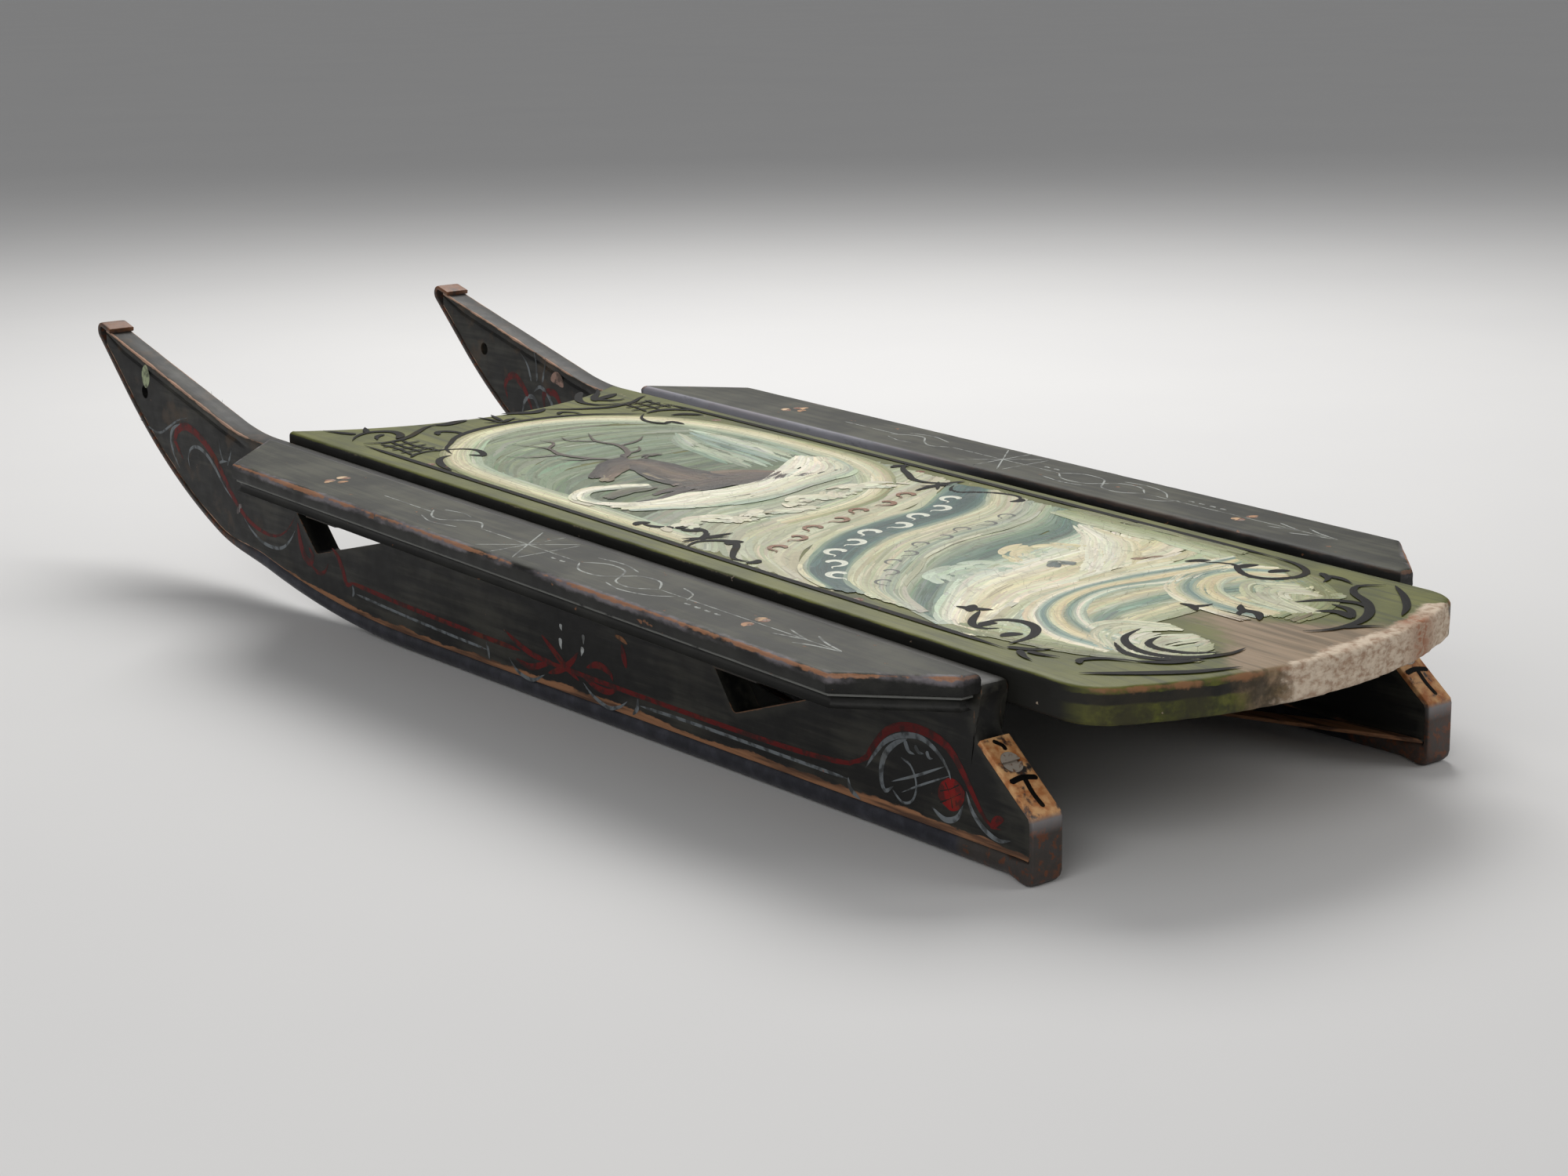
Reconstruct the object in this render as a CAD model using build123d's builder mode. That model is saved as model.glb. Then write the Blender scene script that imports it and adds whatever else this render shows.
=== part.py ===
"""A child's painted wooden coasting sled, built from boards and iron.

Frame: +Z up, +Y to the front, +X to the rider's right.  The origin is on the
ground under the middle of the sled.  Millimetres.

Two solid boards on edge are the runners.  Three cross bars tie them together
and carry the deck board; the front and rear bars reach out through mortises
and carry the side rails.  Each runner is shod with one iron: a round bar below,
hammered flat at both ends, curled over the horn in front and screwed to the
rear end.
"""
import os
from math import atan2, cos, radians, sin, sqrt, tan

from build123d import *

os.makedirs("parts", exist_ok=True)

# ---------------------------------------------------------------- driving sizes
runner_gap = 282.0  # between the inside faces of the runners
runner_thickness = 18.0
ground_length = 600.0  # flat part of the iron, from the rear
prow_reach = 445.0  # from the end of the flat part to the front of the curl
runner_length = ground_length + prow_reach

prow_angle_low = 12.0  # where the gentle rise ends and the steep one starts
prow_angle_high = 42.5  # slope of the straight end of the prow
prow_radius_low = 938.0
prow_radius_high = 444.0

horn_angle = 14.3  # slope of the horn's top edge
horn_blend_radius = 220.0
horn_tip_back = 6.5  # wood ends this far behind the middle of the curl
rope_hole_diameter = 10.0
rope_hole_from_front = 74.0
rope_hole_below_top = 25.0

seat_angle = 1.455  # deck and rails climb towards the front
seat_height = 101.8  # rail top above the ground, at the rear of the runners
runner_top_drop = 6.0  # runner's top edge below the rail top
deck_proud = 0.5  # deck top above the rail top

deck_thickness = 20.0
deck_side_clearance = 0.5
deck_front = ground_length + 188.0  # tips of the front corners
deck_front_hollow = 46.0  # depth of the concave front edge
deck_rear_overhang = 51.0  # middle of the rounded rear end, behind the runners
deck_rear_bulge = 36.0
deck_rear_corner = 28.0
deck_tip_round = 4.0
deck_top_round = 3.0
deck_bottom_round = 2.0

rail_width = 60.0
rail_front_outer = ground_length + 116.0  # outer corners, where the 45 degree clips start
rail_rear_outer = 87.0
rail_lip_height = 11.0  # full-width part of the moulded edge
rail_lip_inset = 3.0  # the lower part of the edge stands back this far
rail_edge_round = 3.5

post_rear = 38.5  # rear face of the post, from the rear of the runners
post_foot_height = 68.0  # where the post meets the slanted rear edge
post_cove_depth = 6.0
post_lip_height = 5.0
post_lip_round = 2.5
heel_height = 36.4  # top of the upright rear end of the iron

bar_width = 38.0
bar_thickness = 16.0
bar_fit = 0.3  # clearance of a bar in its mortise or housing
bar_housing_depth = 6.0  # the middle bar's ends are let into the runners
bar_reach = 44.0  # the other bars stand out past the runners this far
bar_end_thickness = 7.0  # at the tapered outer end
bar_full_thickness_past = 4.0  # the taper starts this far past the runner
rear_bar_at = 182.0
front_bar_at = ground_length + 26.0
middle_bar_at = (rear_bar_at + front_bar_at) / 2

hold_corner_round = 4.0
rod_diameter = 16.0
rod_let_in = 3.0  # depth of the groove in the runner's lower edge
rod_fit = 0.15
strap_width = 20.0
strap_thickness = 3.5
curl_gap_radius = 3.0
curl_fold = 14.0  # strap folded back over the horn's top edge
neck_turn = 9.0  # the bar flattens over this much of the prow's turn
foot_length = 24.0
foot_corner_round = 6.0
heel_bend_round = 3.0

screw_head_diameter = 12.5
screw_head_height = 3.5
screw_shank_diameter = 5.5
screw_length = 30.0
screw_below_strap_top = 16.0
screw_slot_width = 1.6
screw_slot_depth = 1.4
screw_fit = 0.1

nail_head_diameter = 7.0
nail_head_thickness = 1.2
nail_shank_diameter = 3.0
nail_fit = 0.05
rail_nail_bite = 6.0  # length of shank in the bar
deck_nail_bite = 12.0
rail_nail_inset = 24.0  # first rail nail, from the runner
rail_nail_spacing = 11.0
deck_nail_inset = 22.0  # outer deck nails, from the runner
deck_nail_inner = 45.0  # inner deck nails, from the middle


class Hold:
    """A finger opening: its lower front corner, end slope, sill slope and height."""

    def __init__(self, y, z, jamb, sill, height):
        self.foot = (y, z)
        self.head = (y + height / tan(radians(jamb)), z + height)
        self.tail = (y - height / tan(radians(sill)), z + height)


front_hold = Hold(ground_length + 116.0, 48.0, jamb=45.0, sill=14.0, height=31.0)
rear_hold = Hold(242.5, 37.5, jamb=54.0, sill=18.5, height=29.0)

# ------------------------------------------------------------- derived places
# Side views count y from the rear of the runners and z from the ground.
y_rear = (deck_rear_overhang - runner_length) / 2
runner_middle = (runner_gap + runner_thickness) / 2
runner_outside = runner_gap / 2 + runner_thickness
rail_outside = runner_outside + rail_width
rail_thickness = deck_thickness - deck_proud  # deck and rails rest on the same bars
deck_half_width = runner_gap / 2 - deck_side_clearance
wood_bottom = rod_diameter - rod_let_in
rod_radius = rod_diameter / 2
seat_tilt = radians(seat_angle)
seat_normal = (0, -sin(seat_tilt), cos(seat_tilt))
seat_forward = (0, cos(seat_tilt), sin(seat_tilt))

side_view = Plane(origin=(runner_middle, y_rear, 0), x_dir=(0, 1, 0), z_dir=(1, 0, 0))
seat_top = Plane(origin=(0, y_rear, seat_height), x_dir=(1, 0, 0), z_dir=seat_normal)


def seat_point(y, depth):
    """Side view of the place `y` along the seat and `depth` below its surface."""
    return (
        y * cos(seat_tilt) + depth * sin(seat_tilt),
        seat_height + y * sin(seat_tilt) - depth * cos(seat_tilt),
    )


def runner_top(y):
    """Height of the runner's top edge beside the deck."""
    return seat_height + y * tan(seat_tilt) - runner_top_drop


def beside(point, angle, side):
    """The point moved `side` to the left of the direction `angle`, in degrees."""
    a = radians(angle)
    return (point[0] - side * sin(a), point[1] + side * cos(a))


def prow(angle, inside=0.0):
    """Side view of the prow where it slopes at `angle`, moved `inside` the iron."""
    b = radians(angle)
    low = radians(min(angle, prow_angle_low))
    y = ground_length + prow_radius_low * sin(low)
    z = prow_radius_low * (1 - cos(low))
    if angle > prow_angle_low:
        y += prow_radius_high * (sin(b) - sin(low))
        z += prow_radius_high * (cos(low) - cos(b))
    return beside((y, z), angle, inside)


def direction(angle):
    """Unit vector in a side view."""
    return (cos(radians(angle)), sin(radians(angle)))


flat_angle = prow_angle_low + neck_turn  # the iron is flat from here on
curl_radius = curl_gap_radius + strap_thickness
curl_y = runner_length - curl_radius
prow_end = prow(prow_angle_high, curl_radius)
prow_straight = (curl_y - prow_end[0]) / cos(radians(prow_angle_high))
curl_z = prow_end[1] + prow_straight * sin(radians(prow_angle_high))


def horn_top(y):
    """Height of the horn's straight top edge, which touches the curl's air gap."""
    a = radians(horn_angle)
    return curl_z + curl_gap_radius / cos(a) + tan(a) * (y - curl_y)


horn_slope = tan(radians(horn_angle))
horn_root_y = (runner_top(0) - horn_top(0)) / (horn_slope - tan(seat_tilt))
horn_tip_y = curl_y - horn_tip_back
rope_hole_y = runner_length - rope_hole_from_front
rope_hole_place = (rope_hole_y, horn_top(rope_hole_y) - rope_hole_below_top)

heel_slant = atan2(post_foot_height - heel_height, post_rear)
strap_end_inside = (
    post_rear + strap_thickness * sin(heel_slant),
    post_foot_height - strap_thickness * cos(heel_slant),
)
heel_bend_inside = heel_height - strap_thickness * tan((radians(90) - heel_slant) / 2)
screw_plane = Plane(
    origin=(
        runner_middle,
        y_rear + post_rear - screw_below_strap_top * cos(heel_slant),
        post_foot_height - screw_below_strap_top * sin(heel_slant),
    ),
    x_dir=(1, 0, 0),
    z_dir=(0, -sin(heel_slant), cos(heel_slant)),
)
hang_down = (Align.CENTER, Align.CENTER, Align.MAX)

rail_nail_columns = [
    side * (runner_outside + rail_nail_inset + step)
    for side in (-1, 1)
    for step in (0.0, rail_nail_spacing)
]
deck_nail_outer = runner_gap / 2 - deck_nail_inset
deck_nail_columns = [-deck_nail_outer, -deck_nail_inner, deck_nail_inner, deck_nail_outer]
rail_nail_places = [(x, y) for y in (rear_bar_at, front_bar_at) for x in rail_nail_columns]
deck_nail_places = [
    (x, y)
    for y in (rear_bar_at, middle_bar_at, front_bar_at)
    for x in deck_nail_columns
]
deck_nail_shank = deck_thickness + deck_nail_bite
rail_nail_shank = rail_thickness + rail_nail_bite


def nails(plane, places, shank, fit=0.0, mode=Mode.ADD):
    """Round-headed nails driven down from `plane`, heads flush with it."""
    with Locations(plane):
        with Locations(*places):
            Cylinder(nail_head_diameter / 2 + fit, nail_head_thickness, align=hang_down, mode=mode)
            Cylinder(nail_shank_diameter / 2 + fit, shank, align=hang_down, mode=mode)


def screw_blank(fit=0.0, mode=Mode.ADD):
    """The countersunk strap screw without its slot."""
    shank = screw_shank_diameter / 2 + fit
    head = screw_head_diameter / 2 + fit
    with Locations(screw_plane):
        Cone(shank, head, screw_head_height, align=hang_down, mode=mode)
        Cylinder(shank, screw_length, align=hang_down, mode=mode)


def round_bar(fit=0.0, mode=Mode.ADD):
    """The iron's round stretch: along the ground and up the gentle rise."""
    with BuildLine(side_view) as route:
        ground = Line((foot_length / 2, rod_radius), (ground_length, rod_radius))
        JernArc(ground @ 1, (1, 0), prow_radius_low - rod_radius, prow_angle_low)
    with BuildSketch(Plane(origin=ground @ 0, z_dir=ground % 0)) as section:
        Circle(rod_radius + fit)
    sweep(section.sketch, path=route.wire(), mode=mode)


def prow_section(angle, depth):
    """Plane across the iron where the prow slopes at `angle`, `depth` inside it."""
    middle = side_view.from_local_coords(prow(angle, depth))
    return Plane(origin=middle, x_dir=(1, 0, 0), z_dir=(0, *direction(angle)))


def neck(fit=0.0, mode=Mode.ADD):
    """The iron's stretch that is hammered from round to flat."""
    with BuildSketch(prow_section(prow_angle_low, rod_radius)) as round_end:
        Circle(rod_radius + fit)
    with BuildSketch(prow_section(flat_angle, strap_thickness / 2)) as flat_end:
        Rectangle(strap_width + 2 * fit, strap_thickness + 2 * fit)
    loft([round_end.sketch, flat_end.sketch], mode=mode)


def horn_strap_line(inside):
    """One face of the flat strap: up the prow, round the curl and back on the horn."""
    turn = prow_angle_high - flat_angle
    radius = prow_radius_high - inside
    rise = JernArc(prow(flat_angle, inside), direction(flat_angle), radius, turn)
    run = Line(rise @ 1, rise @ 1 + prow_straight * (rise % 1))
    back = 180 + horn_angle - prow_angle_high
    curl = JernArc(run @ 1, run % 1, curl_radius - inside, back)
    return Line(curl @ 1, curl @ 1 + curl_fold * (curl % 1))


# ------------------------------------------------------------------- runners
with BuildPart() as right_runner:
    with BuildSketch(side_view) as board:
        with BuildLine():
            ground_edge = Line((strap_thickness, wood_bottom), (ground_length, wood_bottom))
            rise = JernArc(ground_edge @ 1, (1, 0), prow_radius_low - wood_bottom, prow_angle_low)
            flat_start = prow(flat_angle, strap_thickness)
            Spline(rise @ 1, flat_start, tangents=[rise % 1, direction(flat_angle)])
            steep = JernArc(
                flat_start,
                direction(flat_angle),
                prow_radius_high - strap_thickness,
                prow_angle_high - flat_angle,
            )
            to_tip = (horn_tip_y - (steep @ 1).X) / cos(radians(prow_angle_high))
            prow_edge = Line(steep @ 1, steep @ 1 + to_tip * (steep % 1))
            Polyline(
                prow_edge @ 1,
                (horn_tip_y, horn_top(horn_tip_y)),
                (horn_root_y, runner_top(horn_root_y)),
                (post_rear, runner_top(post_rear)),
                (post_rear, runner_top(post_rear) - post_lip_height),
            )
            cove_middle = (strap_end_inside[1] + runner_top(post_rear) - post_lip_height) / 2
            ThreePointArc(
                (post_rear, runner_top(post_rear) - post_lip_height),
                (post_rear + post_cove_depth, cove_middle),
                strap_end_inside,
            )
            Polyline(
                strap_end_inside,
                (strap_thickness, heel_bend_inside),
                (strap_thickness, wood_bottom),
            )
        make_face()
        horn_root = board.vertices().sort_by_distance((horn_root_y, runner_top(horn_root_y)))[0]
        fillet(horn_root, horn_blend_radius)
        post_lip = board.vertices().sort_by_distance((post_rear, runner_top(post_rear)))[0]
        fillet(post_lip, post_lip_round)
    extrude(amount=runner_thickness / 2, both=True)

    with BuildSketch(side_view) as holds:
        for hold in (front_hold, rear_hold):
            Polygon(hold.foot, hold.head, hold.tail, align=None)
        fillet(holds.vertices(), hold_corner_round)
        with Locations(rope_hole_place):
            Circle(rope_hole_diameter / 2)
    extrude(amount=runner_thickness, both=True, mode=Mode.SUBTRACT)

    with BuildSketch(side_view) as mortises:
        for bar_at in (rear_bar_at, front_bar_at):
            with Locations(seat_point(bar_at, rail_thickness + bar_thickness / 2)):
                Rectangle(bar_width + 2 * bar_fit, bar_thickness + 2 * bar_fit, rotation=seat_angle)
    extrude(amount=runner_thickness, both=True, mode=Mode.SUBTRACT)

    with BuildSketch(side_view.offset(-runner_thickness / 2)) as housing:
        with Locations(seat_point(middle_bar_at, rail_thickness + bar_thickness / 2)):
            Rectangle(bar_width + 2 * bar_fit, bar_thickness + 2 * bar_fit, rotation=seat_angle)
    extrude(amount=bar_housing_depth, mode=Mode.SUBTRACT)

    round_bar(rod_fit, Mode.SUBTRACT)
    neck(rod_fit, Mode.SUBTRACT)
    screw_blank(mode=Mode.SUBTRACT)
right_runner.part.label = "right_runner"
export_step(right_runner.part, "parts/right_runner.step")

with BuildPart() as left_runner:
    mirror(right_runner.part, about=Plane.YZ)
left_runner.part.label = "left_runner"
export_step(left_runner.part, "parts/left_runner.step")

# --------------------------------------------------------------------- irons
with BuildPart() as right_shoe:
    round_bar()
    neck()
    with BuildSketch(side_view) as horn_strap:
        with BuildLine():
            outer_end = horn_strap_line(0.0)
            inner_end = horn_strap_line(strap_thickness)
            Line(outer_end @ 1, inner_end @ 1)
            Line(prow(flat_angle), prow(flat_angle, strap_thickness))
        make_face()
    extrude(amount=strap_width / 2, both=True)
    with BuildSketch(side_view) as heel_strap:
        with BuildLine():
            Polyline(
                (0, 0),
                (foot_length, 0),
                (foot_length - rod_let_in, wood_bottom),
                (strap_thickness, wood_bottom),
                (strap_thickness, heel_bend_inside),
                strap_end_inside,
                (post_rear, post_foot_height),
                (0, heel_height),
                close=True,
            )
        make_face()
        heel_corner = heel_strap.vertices().sort_by_distance((0, 0))[0]
        fillet(heel_corner, foot_corner_round)
        heel_bend = heel_strap.vertices().sort_by_distance((0, heel_height))[0]
        fillet(heel_bend, heel_bend_round)
    extrude(amount=strap_width / 2, both=True)
    screw_blank(screw_fit, Mode.SUBTRACT)
right_shoe.part.label = "right_shoe"
export_step(right_shoe.part, "parts/right_shoe.step")

with BuildPart() as left_shoe:
    mirror(right_shoe.part, about=Plane.YZ)
left_shoe.part.label = "left_shoe"
export_step(left_shoe.part, "parts/left_shoe.step")

with BuildPart() as strap_screws:
    screw_blank()
    with Locations(screw_plane):
        Box(
            screw_head_diameter,
            screw_slot_width,
            screw_slot_depth,
            align=hang_down,
            mode=Mode.SUBTRACT,
        )
    mirror(about=Plane.YZ)
strap_screws.part.label = "strap_screws"
export_step(strap_screws.part, "parts/strap_screws.step")


# ---------------------------------------------------------------- cross bars
def across_view(y):
    """Section across the sled at `y` along the seat: X to the right, Y off the seat."""
    backward = tuple(-component for component in seat_forward)
    origin = side_view.from_local_coords((*seat_point(y, rail_thickness), -runner_middle))
    return Plane(origin=origin, x_dir=(1, 0, 0), z_dir=backward)


def carrying_bar(y):
    """A bar right across the sled, thinned from below under the rails."""
    end = runner_outside + bar_reach
    full = runner_outside + bar_full_thickness_past
    with BuildSketch(across_view(y)) as section:
        Polygon(
            (-end, 0),
            (-end, -bar_end_thickness),
            (-full, -bar_thickness),
            (full, -bar_thickness),
            (end, -bar_end_thickness),
            (end, 0),
            align=None,
        )
    extrude(section.sketch, amount=bar_width / 2, both=True)
    rows = [place for place in deck_nail_places + rail_nail_places if place[1] == y]
    under_deck = [place for place in rows if abs(place[0]) < runner_gap / 2]
    under_rails = [place for place in rows if abs(place[0]) > runner_gap / 2]
    nails(seat_top.offset(deck_proud), under_deck, deck_nail_shank, nail_fit, Mode.SUBTRACT)
    nails(seat_top, under_rails, rail_nail_shank, nail_fit, Mode.SUBTRACT)


with BuildPart() as rear_cross_bar:
    carrying_bar(rear_bar_at)
rear_cross_bar.part.label = "rear_cross_bar"
export_step(rear_cross_bar.part, "parts/rear_cross_bar.step")

with BuildPart() as front_cross_bar:
    carrying_bar(front_bar_at)
front_cross_bar.part.label = "front_cross_bar"
export_step(front_cross_bar.part, "parts/front_cross_bar.step")

with BuildPart() as middle_cross_bar:
    with BuildSketch(across_view(middle_bar_at)):
        Rectangle(
            runner_gap + 2 * (bar_housing_depth - bar_fit),
            bar_thickness,
            align=(Align.CENTER, Align.MAX),
        )
    extrude(amount=bar_width / 2, both=True)
    nails(
        seat_top.offset(deck_proud),
        [place for place in deck_nail_places if place[1] == middle_bar_at],
        deck_nail_shank,
        nail_fit,
        Mode.SUBTRACT,
    )
middle_cross_bar.part.label = "middle_cross_bar"
export_step(middle_cross_bar.part, "parts/middle_cross_bar.step")

# ---------------------------------------------------------------------- deck
with BuildPart() as deck_board:
    deck_surface = seat_top.offset(deck_proud)
    rear_corner_y = deck_rear_bulge - deck_rear_overhang
    with BuildSketch(deck_surface) as outline:
        with BuildLine():
            ThreePointArc(
                (-deck_half_width, deck_front),
                (0, deck_front - deck_front_hollow),
                (deck_half_width, deck_front),
            )
            Line((deck_half_width, deck_front), (deck_half_width, rear_corner_y))
            ThreePointArc(
                (deck_half_width, rear_corner_y),
                (0, -deck_rear_overhang),
                (-deck_half_width, rear_corner_y),
            )
            Line((-deck_half_width, rear_corner_y), (-deck_half_width, deck_front))
        make_face()
        fillet(outline.vertices().group_by(Axis.Y)[0], deck_rear_corner)
        fillet(outline.vertices().group_by(Axis.Y)[-1], deck_tip_round)
    extrude(amount=-deck_thickness)
    along_normal = Axis((0, 0, 0), seat_normal)
    fillet(deck_board.faces().sort_by(along_normal)[-1].edges(), deck_top_round)
    fillet(deck_board.faces().sort_by(along_normal)[0].edges(), deck_bottom_round)
    nails(deck_surface, deck_nail_places, deck_nail_shank, nail_fit, Mode.SUBTRACT)
deck_board.part.label = "deck_board"
export_step(deck_board.part, "parts/deck_board.step")

with BuildPart() as deck_nails:
    nails(deck_surface, deck_nail_places, deck_nail_shank)
deck_nails.part.label = "deck_nails"
export_step(deck_nails.part, "parts/deck_nails.step")


# --------------------------------------------------------------------- rails
def rail_outline(inset):
    """Corners of the right rail from above, its moulded sides moved in by `inset`."""
    diagonal = inset * sqrt(2)
    rear_clip = rail_outside - rail_rear_outer - diagonal  # x minus y on the rear clip
    front_clip = rail_outside + rail_front_outer - diagonal  # x plus y on the front clip
    rear_end = post_rear + inset
    outer = rail_outside - inset
    return [
        (runner_outside, rear_end),
        (rear_clip + rear_end, rear_end),
        (outer, outer - rear_clip),
        (outer, front_clip - outer),
        (runner_outside, front_clip - runner_outside),
    ]


with BuildPart() as right_side_rail:
    with BuildSketch(seat_top):
        Polygon(*rail_outline(0.0), align=None)
    extrude(amount=-rail_lip_height)
    with BuildSketch(seat_top.offset(-rail_lip_height)):
        Polygon(*rail_outline(rail_lip_inset), align=None)
    extrude(amount=rail_lip_height - rail_thickness)
    top_edges = right_side_rail.faces().sort_by(along_normal)[-1].edges()
    fillet(top_edges.sort_by(Axis.X)[1:], rail_edge_round)
    right_nails = [place for place in rail_nail_places if place[0] > 0]
    nails(seat_top, right_nails, rail_nail_shank, nail_fit, Mode.SUBTRACT)
right_side_rail.part.label = "right_side_rail"
export_step(right_side_rail.part, "parts/right_side_rail.step")

with BuildPart() as left_side_rail:
    mirror(right_side_rail.part, about=Plane.YZ)
left_side_rail.part.label = "left_side_rail"
export_step(left_side_rail.part, "parts/left_side_rail.step")

with BuildPart() as rail_nails:
    nails(seat_top, rail_nail_places, rail_nail_shank)
rail_nails.part.label = "rail_nails"
export_step(rail_nails.part, "parts/rail_nails.step")
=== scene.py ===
"""A painted wooden coasting sled: two boards on edge, shod with round iron, three cross bars,
a long deck board with a painted winter picture, and two side rails.

Drawn sizes are in millimetres.  Side views count y from the rear of the irons and z from the
ground; plans of the deck and rails count x from the middle and y along the seat.
"""

import itertools
from math import cos, pi, radians, sin, sqrt, tan

import bmesh
import bpy
import numpy as np
from mathutils import Matrix, Vector


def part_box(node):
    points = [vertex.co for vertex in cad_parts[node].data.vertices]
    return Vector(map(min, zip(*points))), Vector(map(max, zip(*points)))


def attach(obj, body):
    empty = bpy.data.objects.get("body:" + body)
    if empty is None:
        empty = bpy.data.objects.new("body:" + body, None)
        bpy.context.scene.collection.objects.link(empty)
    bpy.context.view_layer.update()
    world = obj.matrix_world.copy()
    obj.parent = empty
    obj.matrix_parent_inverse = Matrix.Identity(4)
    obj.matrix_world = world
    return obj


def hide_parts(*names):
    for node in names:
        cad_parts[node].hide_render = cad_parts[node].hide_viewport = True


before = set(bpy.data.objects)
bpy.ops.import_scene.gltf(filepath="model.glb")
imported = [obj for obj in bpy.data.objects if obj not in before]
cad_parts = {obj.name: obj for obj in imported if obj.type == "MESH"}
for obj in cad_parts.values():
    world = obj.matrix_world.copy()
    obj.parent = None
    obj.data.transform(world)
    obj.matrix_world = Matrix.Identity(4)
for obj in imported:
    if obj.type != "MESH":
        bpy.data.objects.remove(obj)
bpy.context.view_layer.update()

# ---------------------------------------------------------------- studio
# A pale paper floor that runs out of sight, lit by large soft lamps: one high behind the sled,
# one at its rear left.  The camera stands low, behind the sled's left rear corner.
camera_place = Vector((-1.0313, -1.4177, 0.4622))
camera_azimuth = radians(-38.017)
camera_elevation = radians(13.676)
camera_roll = radians(-1.070)
camera_lens = 62.53
camera_sensor = 36.0
floor_size = 40.0

camera_data = bpy.data.cameras.new("camera")
camera_data.lens = camera_lens
camera_data.sensor_width = camera_sensor
camera = bpy.data.objects.new("camera", camera_data)
bpy.context.scene.collection.objects.link(camera)
bpy.context.scene.camera = camera
back = Vector((
    sin(camera_azimuth) * cos(camera_elevation),
    -cos(camera_azimuth) * cos(camera_elevation),
    sin(camera_elevation),
))
level_right = Vector((0, 0, 1)).cross(back).normalized()
level_up = back.cross(level_right)
right = cos(camera_roll) * level_right + sin(camera_roll) * level_up
up = cos(camera_roll) * level_up - sin(camera_roll) * level_right
turned = Matrix((right, up, back)).transposed().to_4x4()
camera.matrix_world = Matrix.Translation(camera_place) @ turned


def lamp(name, place, aim, size, power, colour):
    """A square soft lamp at `place`, turned towards `aim`."""
    data = bpy.data.lights.new(name, "AREA")
    data.size = size
    data.energy = power
    data.color = colour
    light = bpy.data.objects.new(name, data)
    light.location = place
    light.rotation_euler = (Vector(aim) - Vector(place)).to_track_quat("-Z", "Y").to_euler()
    bpy.context.scene.collection.objects.link(light)


lamp("high_lamp", (0.9, 1.1, 1.9), (0, 0, 0.05), 1.5, 48, (1.0, 0.985, 0.96))
lamp("rear_left_lamp", (-2.2, -1.3, 1.5), (0, -0.1, 0.05), 1.6, 24, (1.0, 0.99, 0.97))
lamp("rear_right_lamp", (1.6, -2.2, 1.6), (0, -0.2, 0.05), 1.4, 14, (1.0, 0.98, 0.95))
world = bpy.data.worlds.new("room")
world.use_nodes = True
world.node_tree.nodes["Background"].inputs["Color"].default_value = (0.83, 0.83, 0.83, 1)
world.node_tree.nodes["Background"].inputs["Strength"].default_value = 0.36
bpy.context.scene.world = world
bpy.context.scene.view_settings.view_transform = "Standard"


class Value:
    """A shader number or colour; the operators on numbers add the Math nodes they need."""

    def __init__(self, finish, socket):
        self.finish = finish
        self.socket = socket

    def _math(self, operation, *terms):
        numbered = dict(enumerate(terms))
        return self.finish.node("Math", {"operation": operation}, numbered)

    def __add__(self, other):
        return self._math("ADD", self, other)

    def __sub__(self, other):
        return self._math("SUBTRACT", self, other)

    def __rsub__(self, other):
        return self._math("SUBTRACT", other, self)

    def __mul__(self, other):
        return self._math("MULTIPLY", self, other)

    def __truediv__(self, other):
        return self._math("DIVIDE", self, other)

    def __abs__(self):
        return self._math("ABSOLUTE", self)

    __radd__ = __add__
    __rmul__ = __mul__

    def most(self, other):
        """The larger of the two."""
        return self._math("MAXIMUM", self, other)


def linear(red, green, blue):
    """A colour given from 0 to 255, as light."""
    share = np.array([red, green, blue]) / 255
    return np.where(share < 0.04045, share / 12.92, ((share + 0.055) / 1.055) ** 2.4)


def shade(red, green, blue):
    """The same as a socket's four numbers."""
    return (*linear(red, green, blue), 1.0)


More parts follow.
